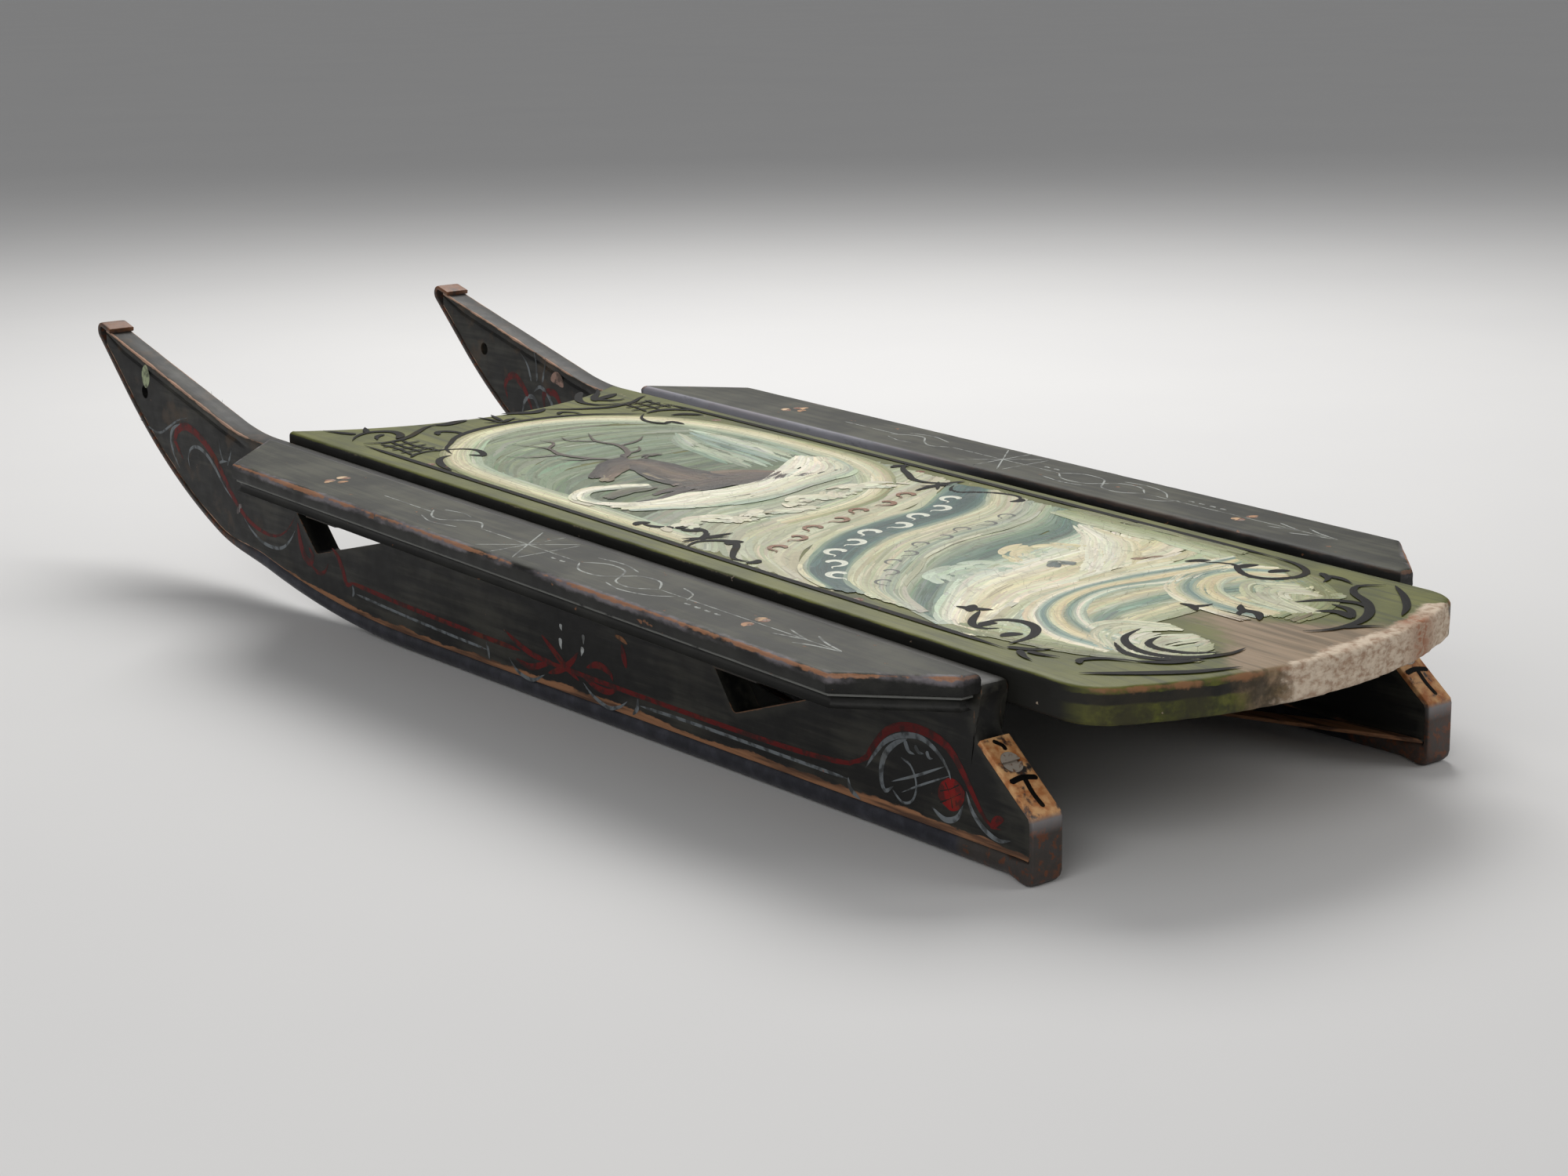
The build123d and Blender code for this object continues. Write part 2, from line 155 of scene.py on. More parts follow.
class Finish:
    """A material being built up from nodes behind one Principled surface."""

    def __init__(self, name, **constants):
        self.material = bpy.data.materials.new(name)
        self.material.use_nodes = True
        self.tree = self.material.node_tree
        self.surface = self.tree.nodes["Principled BSDF"]
        for name, value in constants.items():
            self.surface.inputs[name.replace("_", " ")].default_value = value

    def node(self, kind, settings=None, sockets=None, out=0):
        """A node of `kind`: its settings first, then the values or links of its sockets."""
        made = self.tree.nodes.new("ShaderNode" + kind)
        for name, value in (settings or {}).items():
            setattr(made, name, value)
        for name, value in (sockets or {}).items():
            self.put(made.inputs[name], value)
        return Value(self, made.outputs[out])

    def put(self, socket, value):
        """Links a value to a socket, or sets the socket to a plain number or colour."""
        if isinstance(value, Value):
            self.tree.links.new(value.socket, socket)
        else:
            socket.default_value = value

    def where(self, stretch=(1, 1, 1)):
        """The place on the piece in metres, shrunk or stretched along each axis."""
        spot = self.node("TexCoord", out="Object")
        return self.node("Mapping", None, {"Vector": spot, "Scale": stretch})

    def noise(self, size, detail=4.0, stretch=(1, 1, 1), spot=None):
        """Cloudy noise from 0 to 1 whose lumps are about `size` mm."""
        spot = spot or self.where(stretch)
        sockets = {"Vector": spot, "Scale": 1000 / size, "Detail": detail, "Roughness": 0.55}
        return self.node("TexNoise", None, sockets)

    def step(self, value, low, high):
        """0 below `low`, 1 above `high`, and a smooth step between."""
        sockets = {"Value": value, "From Min": low, "From Max": high}
        return self.node("MapRange", {"interpolation_type": "SMOOTHSTEP"}, sockets)

    def mix(self, first, second, share):
        """Colour `first` with `share` of it replaced by `second`."""
        return self.node("Mix", {"data_type": "RGBA"}, {0: share, 6: first, 7: second}, out=2)

    def tint(self, colour, factor):
        """The colour made lighter or darker by a number."""
        grey = self.node("CombineColor", None, {0: factor, 1: factor, 2: factor})
        settings = {"data_type": "RGBA", "blend_type": "MULTIPLY"}
        return self.node("Mix", settings, {0: 1.0, 6: colour, 7: grey}, out=2)

    def mark(self, name, out="Fac"):
        """A value stored at the mesh's points."""
        return self.node("Attribute", {"attribute_name": name}, None, out=out)

    def bump(self, height, depth, strength=1.0):
        """Relief in which a height of 1 stands `depth` mm out."""
        sockets = {"Height": height, "Distance": depth / 1000, "Strength": strength}
        return self.node("Bump", None, sockets)

    def done(self, **inputs):
        """Joins the surface's varying inputs and gives the material."""
        for name, value in inputs.items():
            self.put(self.surface.inputs[name.replace("_", " ")], value)
        return self.material


paper = Finish("floor_paper", Roughness=0.75)
paper_tone = paper.mix(shade(206, 206, 207), shade(212, 212, 212), paper.noise(400.0))
half = floor_size / 2
floor_mesh = bpy.data.meshes.new("floor")
floor_mesh.from_pydata([(-half, -half, 0), (half, -half, 0), (half, half, 0), (-half, half, 0)],
                       [], [(0, 1, 2, 3)])
floor_mesh.materials.append(paper.done(Base_Color=paper_tone))
floor = bpy.data.objects.new("floor", floor_mesh)
bpy.context.scene.collection.objects.link(floor)

# ---------------------------------------------------------------- runners
# Two pine boards on edge, 18 mm thick, sawn to a long upswept prow with a beaded top edge, two
# finger openings and a rope hole each, mortised for the cross bars and painted black.
mm = 0.001
both_sides = (("right", 1), ("left", -1))
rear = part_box("right_shoe")[0].y / mm
runner_x = (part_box("right_runner")[0].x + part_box("right_runner")[1].x) / 2 / mm
runner_half = (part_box("right_runner")[1].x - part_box("right_runner")[0].x) / 2 / mm
seat_tilt = radians(1.455)
seat_height = 101.8
rail_thickness = 19.5
runner_top_drop = 6.0

ground_length = 600.0
prow_low = 12.0
prow_high = 42.5
prow_radius_low = 938.0
prow_radius_high = 444.0
flat_angle = 21.0  # the iron under the prow is flat from here on
rod_diameter = 16.0
wood_bottom = 13.0
strap_thickness = 3.5
strap_width = 20.0
curl_gap = 3.0
curl_y = 1038.5
curl_fold = 14.0
horn_angle = radians(14.3)
horn_tip = 1032.0
horn_blend = 24.8  # half the length of the curve between the seat and the horn

post_rear = 38.5
post_foot = 68.0
heel_height = 36.4
slant_angle = np.arctan2(post_foot - heel_height, post_rear)
strap_end = (post_rear + strap_thickness * sin(slant_angle),
             post_foot - strap_thickness * cos(slant_angle))
bend_inside = heel_height - strap_thickness * tan((pi / 2 - slant_angle) / 2)

bar_places = (182.0, 404.0, 626.0)
bar_thickness = 16.0
bar_housing = 6.0  # the middle bar's ends are let into the boards this far
mortise_length = 38.6
mortise_height = 16.6
opening_round = 4.0
saw_reach = 30.0
finger_openings = (
    ((716.0, 48.0), (747.0, 79.0), (591.7, 79.0)),
    ((242.5, 37.5), (263.6, 66.5), (155.8, 66.5)),
)
rope_hole = (971.0, 129.98)
rope_hole_radius = 5.0


def prow(angle, inside=0.0):
    """Side view where the prow slopes at `angle` degrees, `inside` its outer face.

    Two arcs run on from each other: the slope's sine times the radius gives the way forward,
    and one minus its cosine the way up.
    """
    start = radians(prow_low)
    low = np.radians(np.minimum(angle, prow_low))
    high = np.radians(np.maximum(angle, prow_low))
    y = prow_radius_low * np.sin(low) + prow_radius_high * (np.sin(high) - sin(start))
    z = prow_radius_low * (1 - np.cos(low)) + prow_radius_high * (cos(start) - np.cos(high))
    slope = np.radians(angle)
    return np.stack([ground_length + y - inside * np.sin(slope), z + inside * np.cos(slope)], -1)


def ease(value, low, high):
    """0 below `low`, 1 above `high`, and a smooth step between."""
    t = np.clip((value - low) / (high - low), 0, 1)
    return t * t * (3 - 2 * t)


def ripple(places, size, seed):
    """Smooth noise of about -1 to 1: sine waves some `size` long in random directions, added."""
    rng = np.random.default_rng(seed)
    waves = rng.normal(size=(14, places.shape[-1])) * 3.2 / size
    return np.sin(places @ waves.T + rng.uniform(0, 2 * pi, 14)).mean(-1) * 2.2


def curve_through(points):
    """The smooth Catmull-Rom curve through `points`, as a function of u from 0 to 1."""
    given = np.asarray(points, float)
    held = np.vstack([2 * given[0] - given[1], given, 2 * given[-1] - given[-2]])
    t = np.linspace(0, len(given) - 1, 24 * len(given))
    i = np.minimum(t.astype(int), len(given) - 2)
    f = (t - i)[:, None]
    a, b, c, d = held[i], held[i + 1], held[i + 2], held[i + 3]
    dense = b + 0.5 * f * (c - a + f * (2 * a - 5 * b + 4 * c - d + f * (3 * b - a - 3 * c + d)))
    run = np.concatenate([[0], np.cumsum(np.linalg.norm(np.diff(dense, axis=0), axis=1))])
    run /= run[-1]
    return lambda u: np.stack([np.interp(u, run, dense[:, k]) for k in (0, 1)], -1)


def split(corners, gap, closed=True):
    """The line through `corners` with points no more than `gap` apart."""
    corners = np.asarray(corners, float)
    ends = np.roll(corners, -1, axis=0) if closed else corners[1:]
    starts = corners if closed else corners[:-1]
    runs = []
    for a, b in zip(starts, ends):
        count = max(1, int(np.ceil(np.linalg.norm(b - a) / gap)))
        runs.append(a + (b - a) * (np.arange(count) / count)[:, None])
    if not closed:
        runs.append(corners[-1:])
    return np.vstack(runs)


def rounded(corners, radius, gap=2.0):
    """A closed outline with straight sides and an arc of `radius` at each corner."""
    corners = np.asarray(corners, float)
    line = []
    for i, corner in enumerate(corners):
        before = corners[i - 1] - corner
        after = corners[(i + 1) % len(corners)] - corner
        before /= np.linalg.norm(before)
        after /= np.linalg.norm(after)
        half_angle = np.arccos(before @ after) / 2
        bisector = (before + after) / np.linalg.norm(before + after)
        middle = corner + bisector * radius / sin(half_angle)
        start = corner + before * radius / tan(half_angle) - middle
        end = corner + after * radius / tan(half_angle) - middle
        turn = np.linspace(0, 1, 7)[:, None]
        arc = start * (1 - turn) + end * turn
        line.append(middle + arc * radius / np.linalg.norm(arc, axis=1, keepdims=True))
    return split(np.vstack(line), gap)


prow_end = prow(prow_high, strap_thickness + curl_gap)
curl_z = prow_end[1] + (curl_y - prow_end[0]) * tan(radians(prow_high))


def seat_line(y):
    """Height of the rails' top."""
    return seat_height + y * tan(seat_tilt)


def runner_top(y):
    """Height of the runner's top edge: the seat's slope and the horn's, blended by a parabola."""
    level = seat_line(y) - runner_top_drop
    horn = curl_z + curl_gap / cos(horn_angle) + tan(horn_angle) * (y - curl_y)
    apart = horn - level
    rise = tan(horn_angle) - tan(seat_tilt)
    inside = apart + rise * horn_blend
    blend = np.clip(inside, 0, 2 * rise * horn_blend) ** 2 / (4 * rise * horn_blend)
    return level + np.where(apart > rise * horn_blend, apart, blend)


def iron_depth(angle):
    """Depth of the iron under the wood, from the let-in rod to the flat strap."""
    return wood_bottom + (strap_thickness - wood_bottom) * ease(angle, prow_low, flat_angle)


def face_out(mesh):
    """Turns a closed mesh's faces outwards."""
    form = bmesh.new()
    form.from_mesh(mesh)
    bmesh.ops.recalc_face_normals(form, faces=form.faces)
    form.to_mesh(mesh)
    form.free()


def lay_out(name, vertices, faces, finish, marks, replaces=(), sharp=32.0):
    """Makes a piece from places in mm and rings of point numbers, faces turned outwards."""
    mesh = bpy.data.meshes.new(name)
    mesh.from_pydata((np.asarray(vertices).reshape(-1, 3) * mm).tolist(), [], faces)
    for mark, values in marks.items():
        kind = "FLOAT_COLOR" if values.shape[-1] == 4 else "FLOAT"
        layer = mesh.attributes.new(mark, kind, "POINT")
        layer.data.foreach_set("color" if kind == "FLOAT_COLOR" else "value", values.ravel())
    face_out(mesh)
    finish_piece(name, mesh, finish, replaces, sharp)


def finish_piece(name, mesh, finish, replaces, sharp=32.0):
    """Puts a finished mesh in the scene as a piece of the sled."""
    mesh.polygons.foreach_set("use_smooth", [True] * len(mesh.polygons))
    mesh.set_sharp_from_angle(angle=radians(sharp))
    mesh.materials.clear()
    mesh.materials.append(finish)
    made = bpy.data.objects.new(name, mesh)
    bpy.context.scene.collection.objects.link(made)
    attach(made, "root")
    if replaces:
        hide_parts(*replaces)


def tube_faces(rings, around):
    """Quads between `rings` closed rings of `around` points, and a face over each end."""
    i, j = np.meshgrid(np.arange(rings - 1), np.arange(around), indexing="ij")
    k = (j + 1) % around
    quads = np.stack([i * around + j, i * around + k, (i + 1) * around + k, (i + 1) * around + j],
                     -1)
    first = list(range(around))
    last = [(rings - 1) * around + n for n in reversed(range(around))]
    return [*quads.reshape(-1, 4).tolist(), first, last]


def heel_outline():
    """The runner's rear end in side view: heel, slant under the iron, cove and post."""
    top = float(runner_top(post_rear))
    cove = curve_through([strap_end, (43.6, 72.0), (44.4, 79.0), (42.6, 86.0), (post_rear, top - 5)])
    heel = [(strap_thickness, wood_bottom), (strap_thickness, bend_inside), strap_end]
    post = [(post_rear, top - 5), (post_rear, top - 2.4), (post_rear + 0.8, top - 0.7),
            (post_rear + 2.5, top)]
    return np.vstack([split(heel, 3.0, closed=False), cove(np.linspace(0.1, 0.9, 9)),
                      split(post, 2.5, closed=False)])


def runner_edges():
    """Lower and upper edge of the runner, point for point, from the heel to the horn's tip."""
    behind = heel_outline()
    root = 60.0
    ground = np.arange(root, ground_length, 3.5)[1:]
    angles = np.concatenate([np.arange(0, prow_low, 0.25), np.arange(prow_low, prow_high, 0.45)])
    rise = prow(angles, iron_depth(angles))
    foot = prow(prow_high, strap_thickness)
    straight = np.linspace(0, 1, 12)[:, None] * (horn_tip - foot[0])
    steep = foot + straight * np.array([1, tan(radians(prow_high))])
    level = np.stack([ground, np.full(len(ground), wood_bottom)], -1)
    under = np.stack([np.linspace(strap_thickness, root, len(behind)),
                      np.full(len(behind), wood_bottom)], -1)
    lower_front = np.vstack([level, rise, steep])
    top_y = behind[-1, 0] + (lower_front[:, 0] - root) * (horn_tip - behind[-1, 0]) / (
        horn_tip - root)
    upper_front = np.stack([top_y, runner_top(top_y)], -1)
    return np.vstack([under, lower_front]), np.vstack([behind, upper_front])


def runner_blank():
    """The runner as a tube of board sections, x measured outwards from its middle.

    Each section runs from the groove for the rod up one side, over the top edge and down the
    other; near the horn's top a quirk is cut below the arris, which leaves a bead.  The foot
    and head are drawn for a board 9 mm from its middle to its face.
    """
    drawn_half = 9.0
    lower, upper = runner_edges()
    height = np.linalg.norm(upper - lower, axis=1)[:, None]
    shrink = np.minimum(1, height / 30)
    groove = 1 - ease(lower[:, :1], prow(prow_low)[0], prow(flat_angle)[0])
    beaded = ease(upper[:, :1], 806, 828)
    foot = np.array([3.25, 2.8, 1.9, 0, 0, 0.4, 1.3, 3, 6, 11])
    foot_x = np.array([0, 2.6, 4.6, 6.5, 7.9, 8.6, 9, 9, 9, 9])
    head = np.array([13, 10, 8.6, 7.8, 7.0, 6.2, 5.2, 3.2, 1.5, 0.45, 0, 0])
    head_x = np.array([9, 9, 9, 9, 9, 9, 9, 9, 8.9, 8.45, 7.4, 0])
    quirk = np.array([0, 0, 0.15, 0.9, 1.3, 0.9, 0.1, 0, 0, 0, 0, 0])
    in_groove = (foot_x < 6) * 1.0
    low = foot * (in_groove * groove + 1 - in_groove) * shrink
    high = height - head * shrink
    middle = low[:, -1:] + (high[:, :1] - low[:, -1:]) * np.linspace(0, 1, 9)[1:-1]
    reach = np.hstack([low, middle, high])
    side = np.hstack([np.tile(foot_x, (len(height), 1)), np.full(middle.shape, drawn_half),
                      head_x - quirk * beaded]) * runner_half / drawn_half
    along = (upper - lower) / height
    one_side = np.concatenate([side[..., None], lower[:, None] + along[:, None] * reach[..., None]],
                              -1)
    worn = ripple(one_side, 28.0, 5) * 0.22 + ripple(one_side, 9.0, 6) * 0.10
    near_edge = np.exp(-np.minimum(reach, height - reach) / 2.5)
    one_side[..., 0] -= np.abs(worn) * near_edge * (one_side[..., 0] > 1)
    other = one_side[:, -2:0:-1] * (-1, 1, 1)
    return np.concatenate([one_side, other], 1)


def prism(outline, *stations):
    """Points and faces of a side-view outline carried straight across, a section a station."""
    count = len(outline)
    sections = [np.column_stack([np.full(count, x), outline]) for x in stations]
    return np.stack(sections).reshape(-1, 3), tube_faces(len(stations), count)


def runner_cuts():
    """Cutters for the finger openings, rope hole, mortises and the middle bar's housing."""
    cuts = [prism(rounded(corners, opening_round, gap=4.0), -saw_reach, -6.5, 0, 6.5, saw_reach)
            for corners in finger_openings]
    turn = np.linspace(0, 2 * pi, 33)[:-1]
    circle = np.stack([np.cos(turn), np.sin(turn)], -1)
    cuts.append(prism(np.array(rope_hole) + rope_hole_radius * circle, -saw_reach, saw_reach))
    forward = np.array([cos(seat_tilt), sin(seat_tilt)])
    off = np.array([-sin(seat_tilt), cos(seat_tilt)])
    depth = rail_thickness + bar_thickness / 2
    for place, outer in zip(bar_places, (saw_reach, bar_housing - runner_half, saw_reach)):
        middle = np.array([0, seat_height]) + forward * place - off * depth
        box = [middle + forward * mortise_length / 2 * a + off * mortise_height / 2 * b
               for a, b in ((-1, -1), (1, -1), (1, 1), (-1, 1))]
        cuts.append(prism(np.array(box), -saw_reach, outer))
    return cuts


def distance(places, outline):
    """How far each place is from the nearest point of an outline, in batches to save memory."""
    gaps_at_once = 4_000_000
    batches = max(1, len(places) * len(outline) // gaps_at_once)
    near = [np.sqrt(((batch[:, None] - outline[None]) ** 2).sum(-1).min(1))
            for batch in np.array_split(places, batches)]
    return np.concatenate(near)


def sawn(vertices, faces, cutters):
    """A mesh from places in mm with every cutter, a pair of places and faces, taken out of it."""
    points, rings, count = [], [], 0
    for places, sides in cutters:
        points.append(places)
        rings += [[n + count for n in ring] for ring in sides]
        count += len(places)
    bench = []
    for name, places, sides in (("blank", vertices, faces), ("saw", np.vstack(points), rings)):
        mesh = bpy.data.meshes.new(name)
        mesh.from_pydata((places.reshape(-1, 3) * mm).tolist(), [], sides)
        face_out(mesh)
        bench.append(bpy.data.objects.new(name, mesh))
        bpy.context.scene.collection.objects.link(bench[-1])
    cut = bench[0].modifiers.new("cut", "BOOLEAN")
    cut.operation = "DIFFERENCE"
    cut.solver = "EXACT"
    cut.object = bench[1]
    done = bpy.data.meshes.new_from_object(
        bench[0].evaluated_get(bpy.context.evaluated_depsgraph_get()))
    for thing in bench:
        bpy.data.objects.remove(thing)
    return done


def places_of(mesh):
    """A mesh's points in mm, y from the rear of the irons."""
    places = np.zeros(len(mesh.vertices) * 3)
    mesh.vertices.foreach_get("co", places)
    return places.reshape(-1, 3) / mm - (0, rear, 0)


def store(mesh, **marks):
    """Stores one number a point under each name."""
    for name, values in marks.items():
        mesh.attributes.new(name, "FLOAT", "POINT").data.foreach_set("value", np.ravel(values))


def board_marks(mesh):
    """Stores each point's distance from the lower arris and from any arris, and 0 to 1 up the horn.

    The first counts for more inside and up the prow, where the lower arris is less worn.
    """
    places = places_of(mesh)
    side = places[:, 1:]
    from_face = runner_half - np.abs(places[:, 0] - runner_x)
    lower, upper = runner_edges()
    openings = [distance(side, rounded(corners, opening_round)) for corners in finger_openings]
    low = distance(side, lower)
    edge = np.minimum.reduce([low, distance(side, upper), *openings])
    up_prow = ease(side[:, 0], 690, 800)
    inside = ease(runner_x - places[:, 0], 0, runner_half)
    store(mesh, low_edge=low * (1 + 1.6 * up_prow) + from_face * 2.5 + inside * 3.0,
          edge=np.hypot(edge, from_face), horn=ease(side[:, 0], 740, 830))


def runner_finish():
    """Old black paint on pine: brushed, rubbed grey, and worn to orange wood at edges."""
    f = Finish("runner_paint", Specular_IOR_Level=0.28)
    along = (1, 0.06, 1)
    worn_black = shade(54, 53, 47)
    grain = f.noise(5.0, 6.0, along)
    fine = f.noise(1.6, 3.0, along)
    cloud = f.noise(60.0, 5.0)
    rubbed = f.step(cloud * 0.6 + grain * 0.5, 0.50, 0.72)
    paint = f.mix(shade(19, 19, 18), worn_black, rubbed)
    edge = f.mark("edge")
    horn = f.mark("horn")
    ragged = f.noise(14.0, 6.0, (1, 0.35, 1)) * 1.25 + f.noise(2.4, 3.0, (1, 0.4, 1)) * 0.35
    scuffed = f.step(ragged * 2.1 - edge, 0.9, 1.5)
    greyed = f.step(ragged * 8.0 - edge, 0.5, 5.5)
    low = f.step(ragged * 8.0 - f.mark("low_edge"), 1.6, 2.6)
    specks = f.step(f.noise(7.0, 5.0), 0.735, 0.76)
    bare = (scuffed * 0.6).most(low).most(specks * 0.8)
    bare = bare.most(f.step(ragged * 2.8 - edge, 0.70, 1.15) * horn)
    wood = f.mix(shade(148, 106, 76), shade(84, 60, 46), f.step(grain, 0.42, 0.62))
    wood = f.mix(wood, shade(186, 156, 138), horn * 0.6)
    paint = f.mix(paint, worn_black, greyed * 0.55)
    patches = f.step(f.noise(26.0, 7.0), 0.54, 0.66)
    paint = f.mix(paint, shade(74, 58, 42), patches * horn * 0.5)
    colour = f.mix(paint, wood, bare)
    height = grain * 0.5 + fine * 0.25 + (1 - bare) * 0.35
    rough = 0.40 + f.noise(9.0, 4.0) * 0.22 + bare * 0.22
    return f.done(Base_Color=colour, Roughness=rough, Normal=f.bump(height, 0.35, 0.8))


runner_paint = runner_finish()
board_sections = runner_blank()
right_board = sawn(board_sections + (runner_x, rear, 0), tube_faces(*board_sections.shape[:2]),
                   [(places + (runner_x, rear, 0), sides) for places, sides in runner_cuts()])
board_marks(right_board)
left_board = right_board.copy()
left_board.transform(Matrix.Scale(-1, 4, (1, 0, 0)))
left_board.flip_normals()
finish_piece("right_runner_board", right_board, runner_paint, ["right_runner"])
finish_piece("left_runner_board", left_board, runner_paint, ["left_runner"])

# ---------------------------------------------------------------- cross bars
# Three flat bars of plain wood tie the runners together under the deck.  The front and rear ones
# go through mortises and are thinned outside to carry the rails; they were brushed black.
def coat(node, material):
    """Gives a piece of the frame its finish."""
    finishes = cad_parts[node].data.materials
    finishes.clear()
    finishes.append(material)


bar_finish = Finish("bar_wood", Specular_IOR_Level=0.35)
bar_grain = bar_finish.noise(4.0, 6.0, (0.05, 1, 1))
bar_dirt = bar_finish.step(bar_finish.noise(35.0, 6.0), 0.42, 0.66)
bar_tone = bar_finish.mix(shade(44, 40, 36), shade(94, 74, 56), bar_dirt * 0.8)
bar_tone = bar_finish.tint(bar_tone, bar_grain * 0.9 + 0.55)
bar_material = bar_finish.done(Base_Color=bar_tone, Roughness=bar_grain * 0.2 + 0.55,
                               Normal=bar_finish.bump(bar_grain, 0.4))
for bar in ("rear_cross_bar", "middle_cross_bar", "front_cross_bar"):
    coat(bar, bar_material)

# ---------------------------------------------------------------- irons
# Each runner has one iron: a round bar along the ground, hammered to a strap up the prow and
# curled over the horn, and turned up the heel to a strap that a screw holds.


def iron_edges():
    """Outer and inner face of the iron in side view, its width, and how square it is.

    Point for point from the end folded over the horn, round the curl, down the prow and along
    the ground, then up the heel and along the slant.
    """
    radii = (strap_thickness + curl_gap, curl_gap)
    fold_angle = pi + horn_angle
    turn = np.linspace(fold_angle, radians(prow_high), 26)
    faces = []
    for radius in radii:
        curl = np.array([curl_y, curl_z]) + radius * np.stack([np.sin(turn), -np.cos(turn)], -1)
        onward = np.array([cos(fold_angle), sin(fold_angle)])
        fold = curl[0] + onward * (curl_fold * np.linspace(1, 0, 9)[:-1])[:, None]
        faces.append(np.vstack([fold, curl]))
    angles = np.concatenate([np.arange(prow_high, prow_low, -0.35), np.arange(prow_low, 0, -0.25)])
    flat = ease(angles, prow_low, flat_angle)
    depth = rod_diameter + (strap_thickness - rod_diameter) * flat
    start = [face[-1] for face in faces]
    straight = np.linspace(0, 1, 14)[1:-1, None]
    ends = (prow(prow_high), prow(prow_high, strap_thickness))
    for n, end in enumerate(ends):
        faces[n] = np.vstack([faces[n], start[n] + (end - start[n]) * straight])
    head = len(faces[0])
    faces[0] = np.vstack([faces[0], prow(angles)])
    faces[1] = np.vstack([faces[1], prow(angles, depth)])
    ground = np.arange(ground_length, 28, -4.0)
    faces[0] = np.vstack([faces[0], np.stack([ground, ground * 0], -1)])
    faces[1] = np.vstack([faces[1], np.stack([ground, ground * 0 + rod_diameter], -1)])
    outer = [(24, 0), (18, 0), (12, 0), (6, 0), (3, 0.8), (0.8, 3), (0, 6), (0, 10), (0, 14),
             (0, 20), (0, 27), (0, heel_height - 2), (0.9, heel_height + 0.8), (9, 43.8),
             (20, 52.8), (30, 61.0), (post_rear, post_foot)]
    inner = [(24, 15.8), (20.5, 13), (14, 13), (9, 13), (6, 13), (4.4, 13), (3.6, 13.2),
             (3.5, 14.4), (3.5, 16.5), (3.5, 21), (3.5, 27), (3.5, bend_inside - 1.6),
             (4.4, bend_inside + 0.9), (11.9, 41.6), (22.6, 50.4), (32.4, 58.4), strap_end]
    faces[0] = np.vstack([faces[0], outer])
    faces[1] = np.vstack([faces[1], inner])
    wide = [np.full(head, 1.0), flat, ground * 0, ease(np.arange(len(outer)), 0, 3)]
    return faces[0], faces[1], np.concatenate(wide)


def iron_tube(seed):
    """The iron as a tube: sections between its two faces go from round to square-edged.

    A section is a superellipse; its power falls from 1, a circle, to 0.24, a strap with soft
    edges, and hammer marks draw its points in by a fraction of a millimetre.
    """
    outer, inner, flat = iron_edges()
    around = np.linspace(0, 2 * pi, 41)[:-1]
    power = (1 - 0.76 * flat)[:, None]
    across = np.sign(np.sin(around)) * np.abs(np.sin(around)) ** power
    through = np.sign(np.cos(around)) * np.abs(np.cos(around)) ** power
    half_width = (rod_diameter + (strap_width - rod_diameter) * flat)[:, None] / 2
    middle = (outer + inner) / 2
    reach = (outer - inner) / 2
    x = across * half_width
    side = middle[:, None] + reach[:, None] * through[..., None]
    places = np.concatenate([x[..., None], side], -1)
    marks = ripple(places, 16.0, seed) * 0.16 + ripple(places, 5.0, seed + 1) * 0.07
    places[..., 0] *= 1 - np.abs(marks) * 0.03
    places[..., 1:] += (middle[:, None] - places[..., 1:]) * (np.abs(marks) * 0.05)[..., None]
    return places


def iron_finish():
    """Dark blued iron; the straps rusty; old ochre paint on the heel's slant and curl's end; a
    painted pale highlight along the heel's bend.
    """
    f = Finish("sled_iron", Specular_IOR_Level=0.4)
    clouds = f.noise(30.0, 6.0, (1, 0.5, 1))
    fine = f.noise(3.0, 6.0)
    strap = f.mark("strap")
    rusty = f.step(clouds * 0.5 + fine * 0.3 + strap * 0.20, 0.56, 0.78)
    specks = f.step(f.noise(5.0, 7.0), 0.54, 0.62) * strap
    steel = f.mix(shade(50, 51, 58), shade(72, 73, 82), f.step(f.noise(12.0, 6.0), 0.4, 0.75))
    steel = f.mix(steel, shade(76, 70, 64), strap * 0.75)
    rust = f.mix(shade(62, 44, 38), shade(116, 72, 48), fine)
    colour = f.mix(steel, rust, rusty * 0.8)
    colour = f.mix(colour, shade(112, 68, 46), specks * 0.8)
    # Painted highlight: a pale grey band along the heel's bend, where the iron turns from the
    # upright to the slant.
    colour = f.mix(colour, shade(142, 140, 142), f.mark("bend") * 0.8)
    flaked = f.noise(13.0, 6.0) * 0.75 + fine * 0.25
    painted = f.mark("painted") * f.step(flaked, 0.38, 0.47)
    ochre = f.mix(shade(160, 98, 52), shade(206, 160, 110), f.step(f.noise(7.0, 7.0), 0.35, 0.65))
    colour = f.mix(colour, ochre, painted)
    fold = f.mark("fold") * f.step(flaked, 0.36, 0.56)
    colour = f.mix(colour, shade(112, 72, 44), fold)
    metal = (1 - rusty * 0.75) * (1 - painted) * (1 - fold) * 0.6
    rough = 0.38 + rusty * 0.26 + fine * 0.12 + painted * 0.1
    height = fine * 0.5 + clouds * 0.3 + painted * 0.5
    return f.done(Base_Color=colour, Metallic=metal, Roughness=rough,
                  Normal=f.bump(height, 0.45, 0.8))


slant_length = np.hypot(post_foot - heel_height, post_rear)
screw_up_slant = slant_length - 16.0
screw_hole = 6.35


def heel_place(x, s, lift):
    """Side places on the strap's slant: `s` up it from the bend, `lift` off it."""
    y = s * cos(slant_angle) - lift * sin(slant_angle)
    z = heel_height + s * sin(slant_angle) + lift * cos(slant_angle)
    return np.stack(np.broadcast_arrays(x, y, z), -1)


def screw_cutter():
    """A round plug through the strap where the screw's head sits."""
    turn = np.linspace(0, 2 * pi, 41)[:-1]
    rings = [heel_place(screw_hole * np.cos(turn), screw_up_slant + screw_hole * np.sin(turn), lift)
             for lift in (-6.0, 4.0)]
    return np.vstack(rings), tube_faces(2, len(turn))


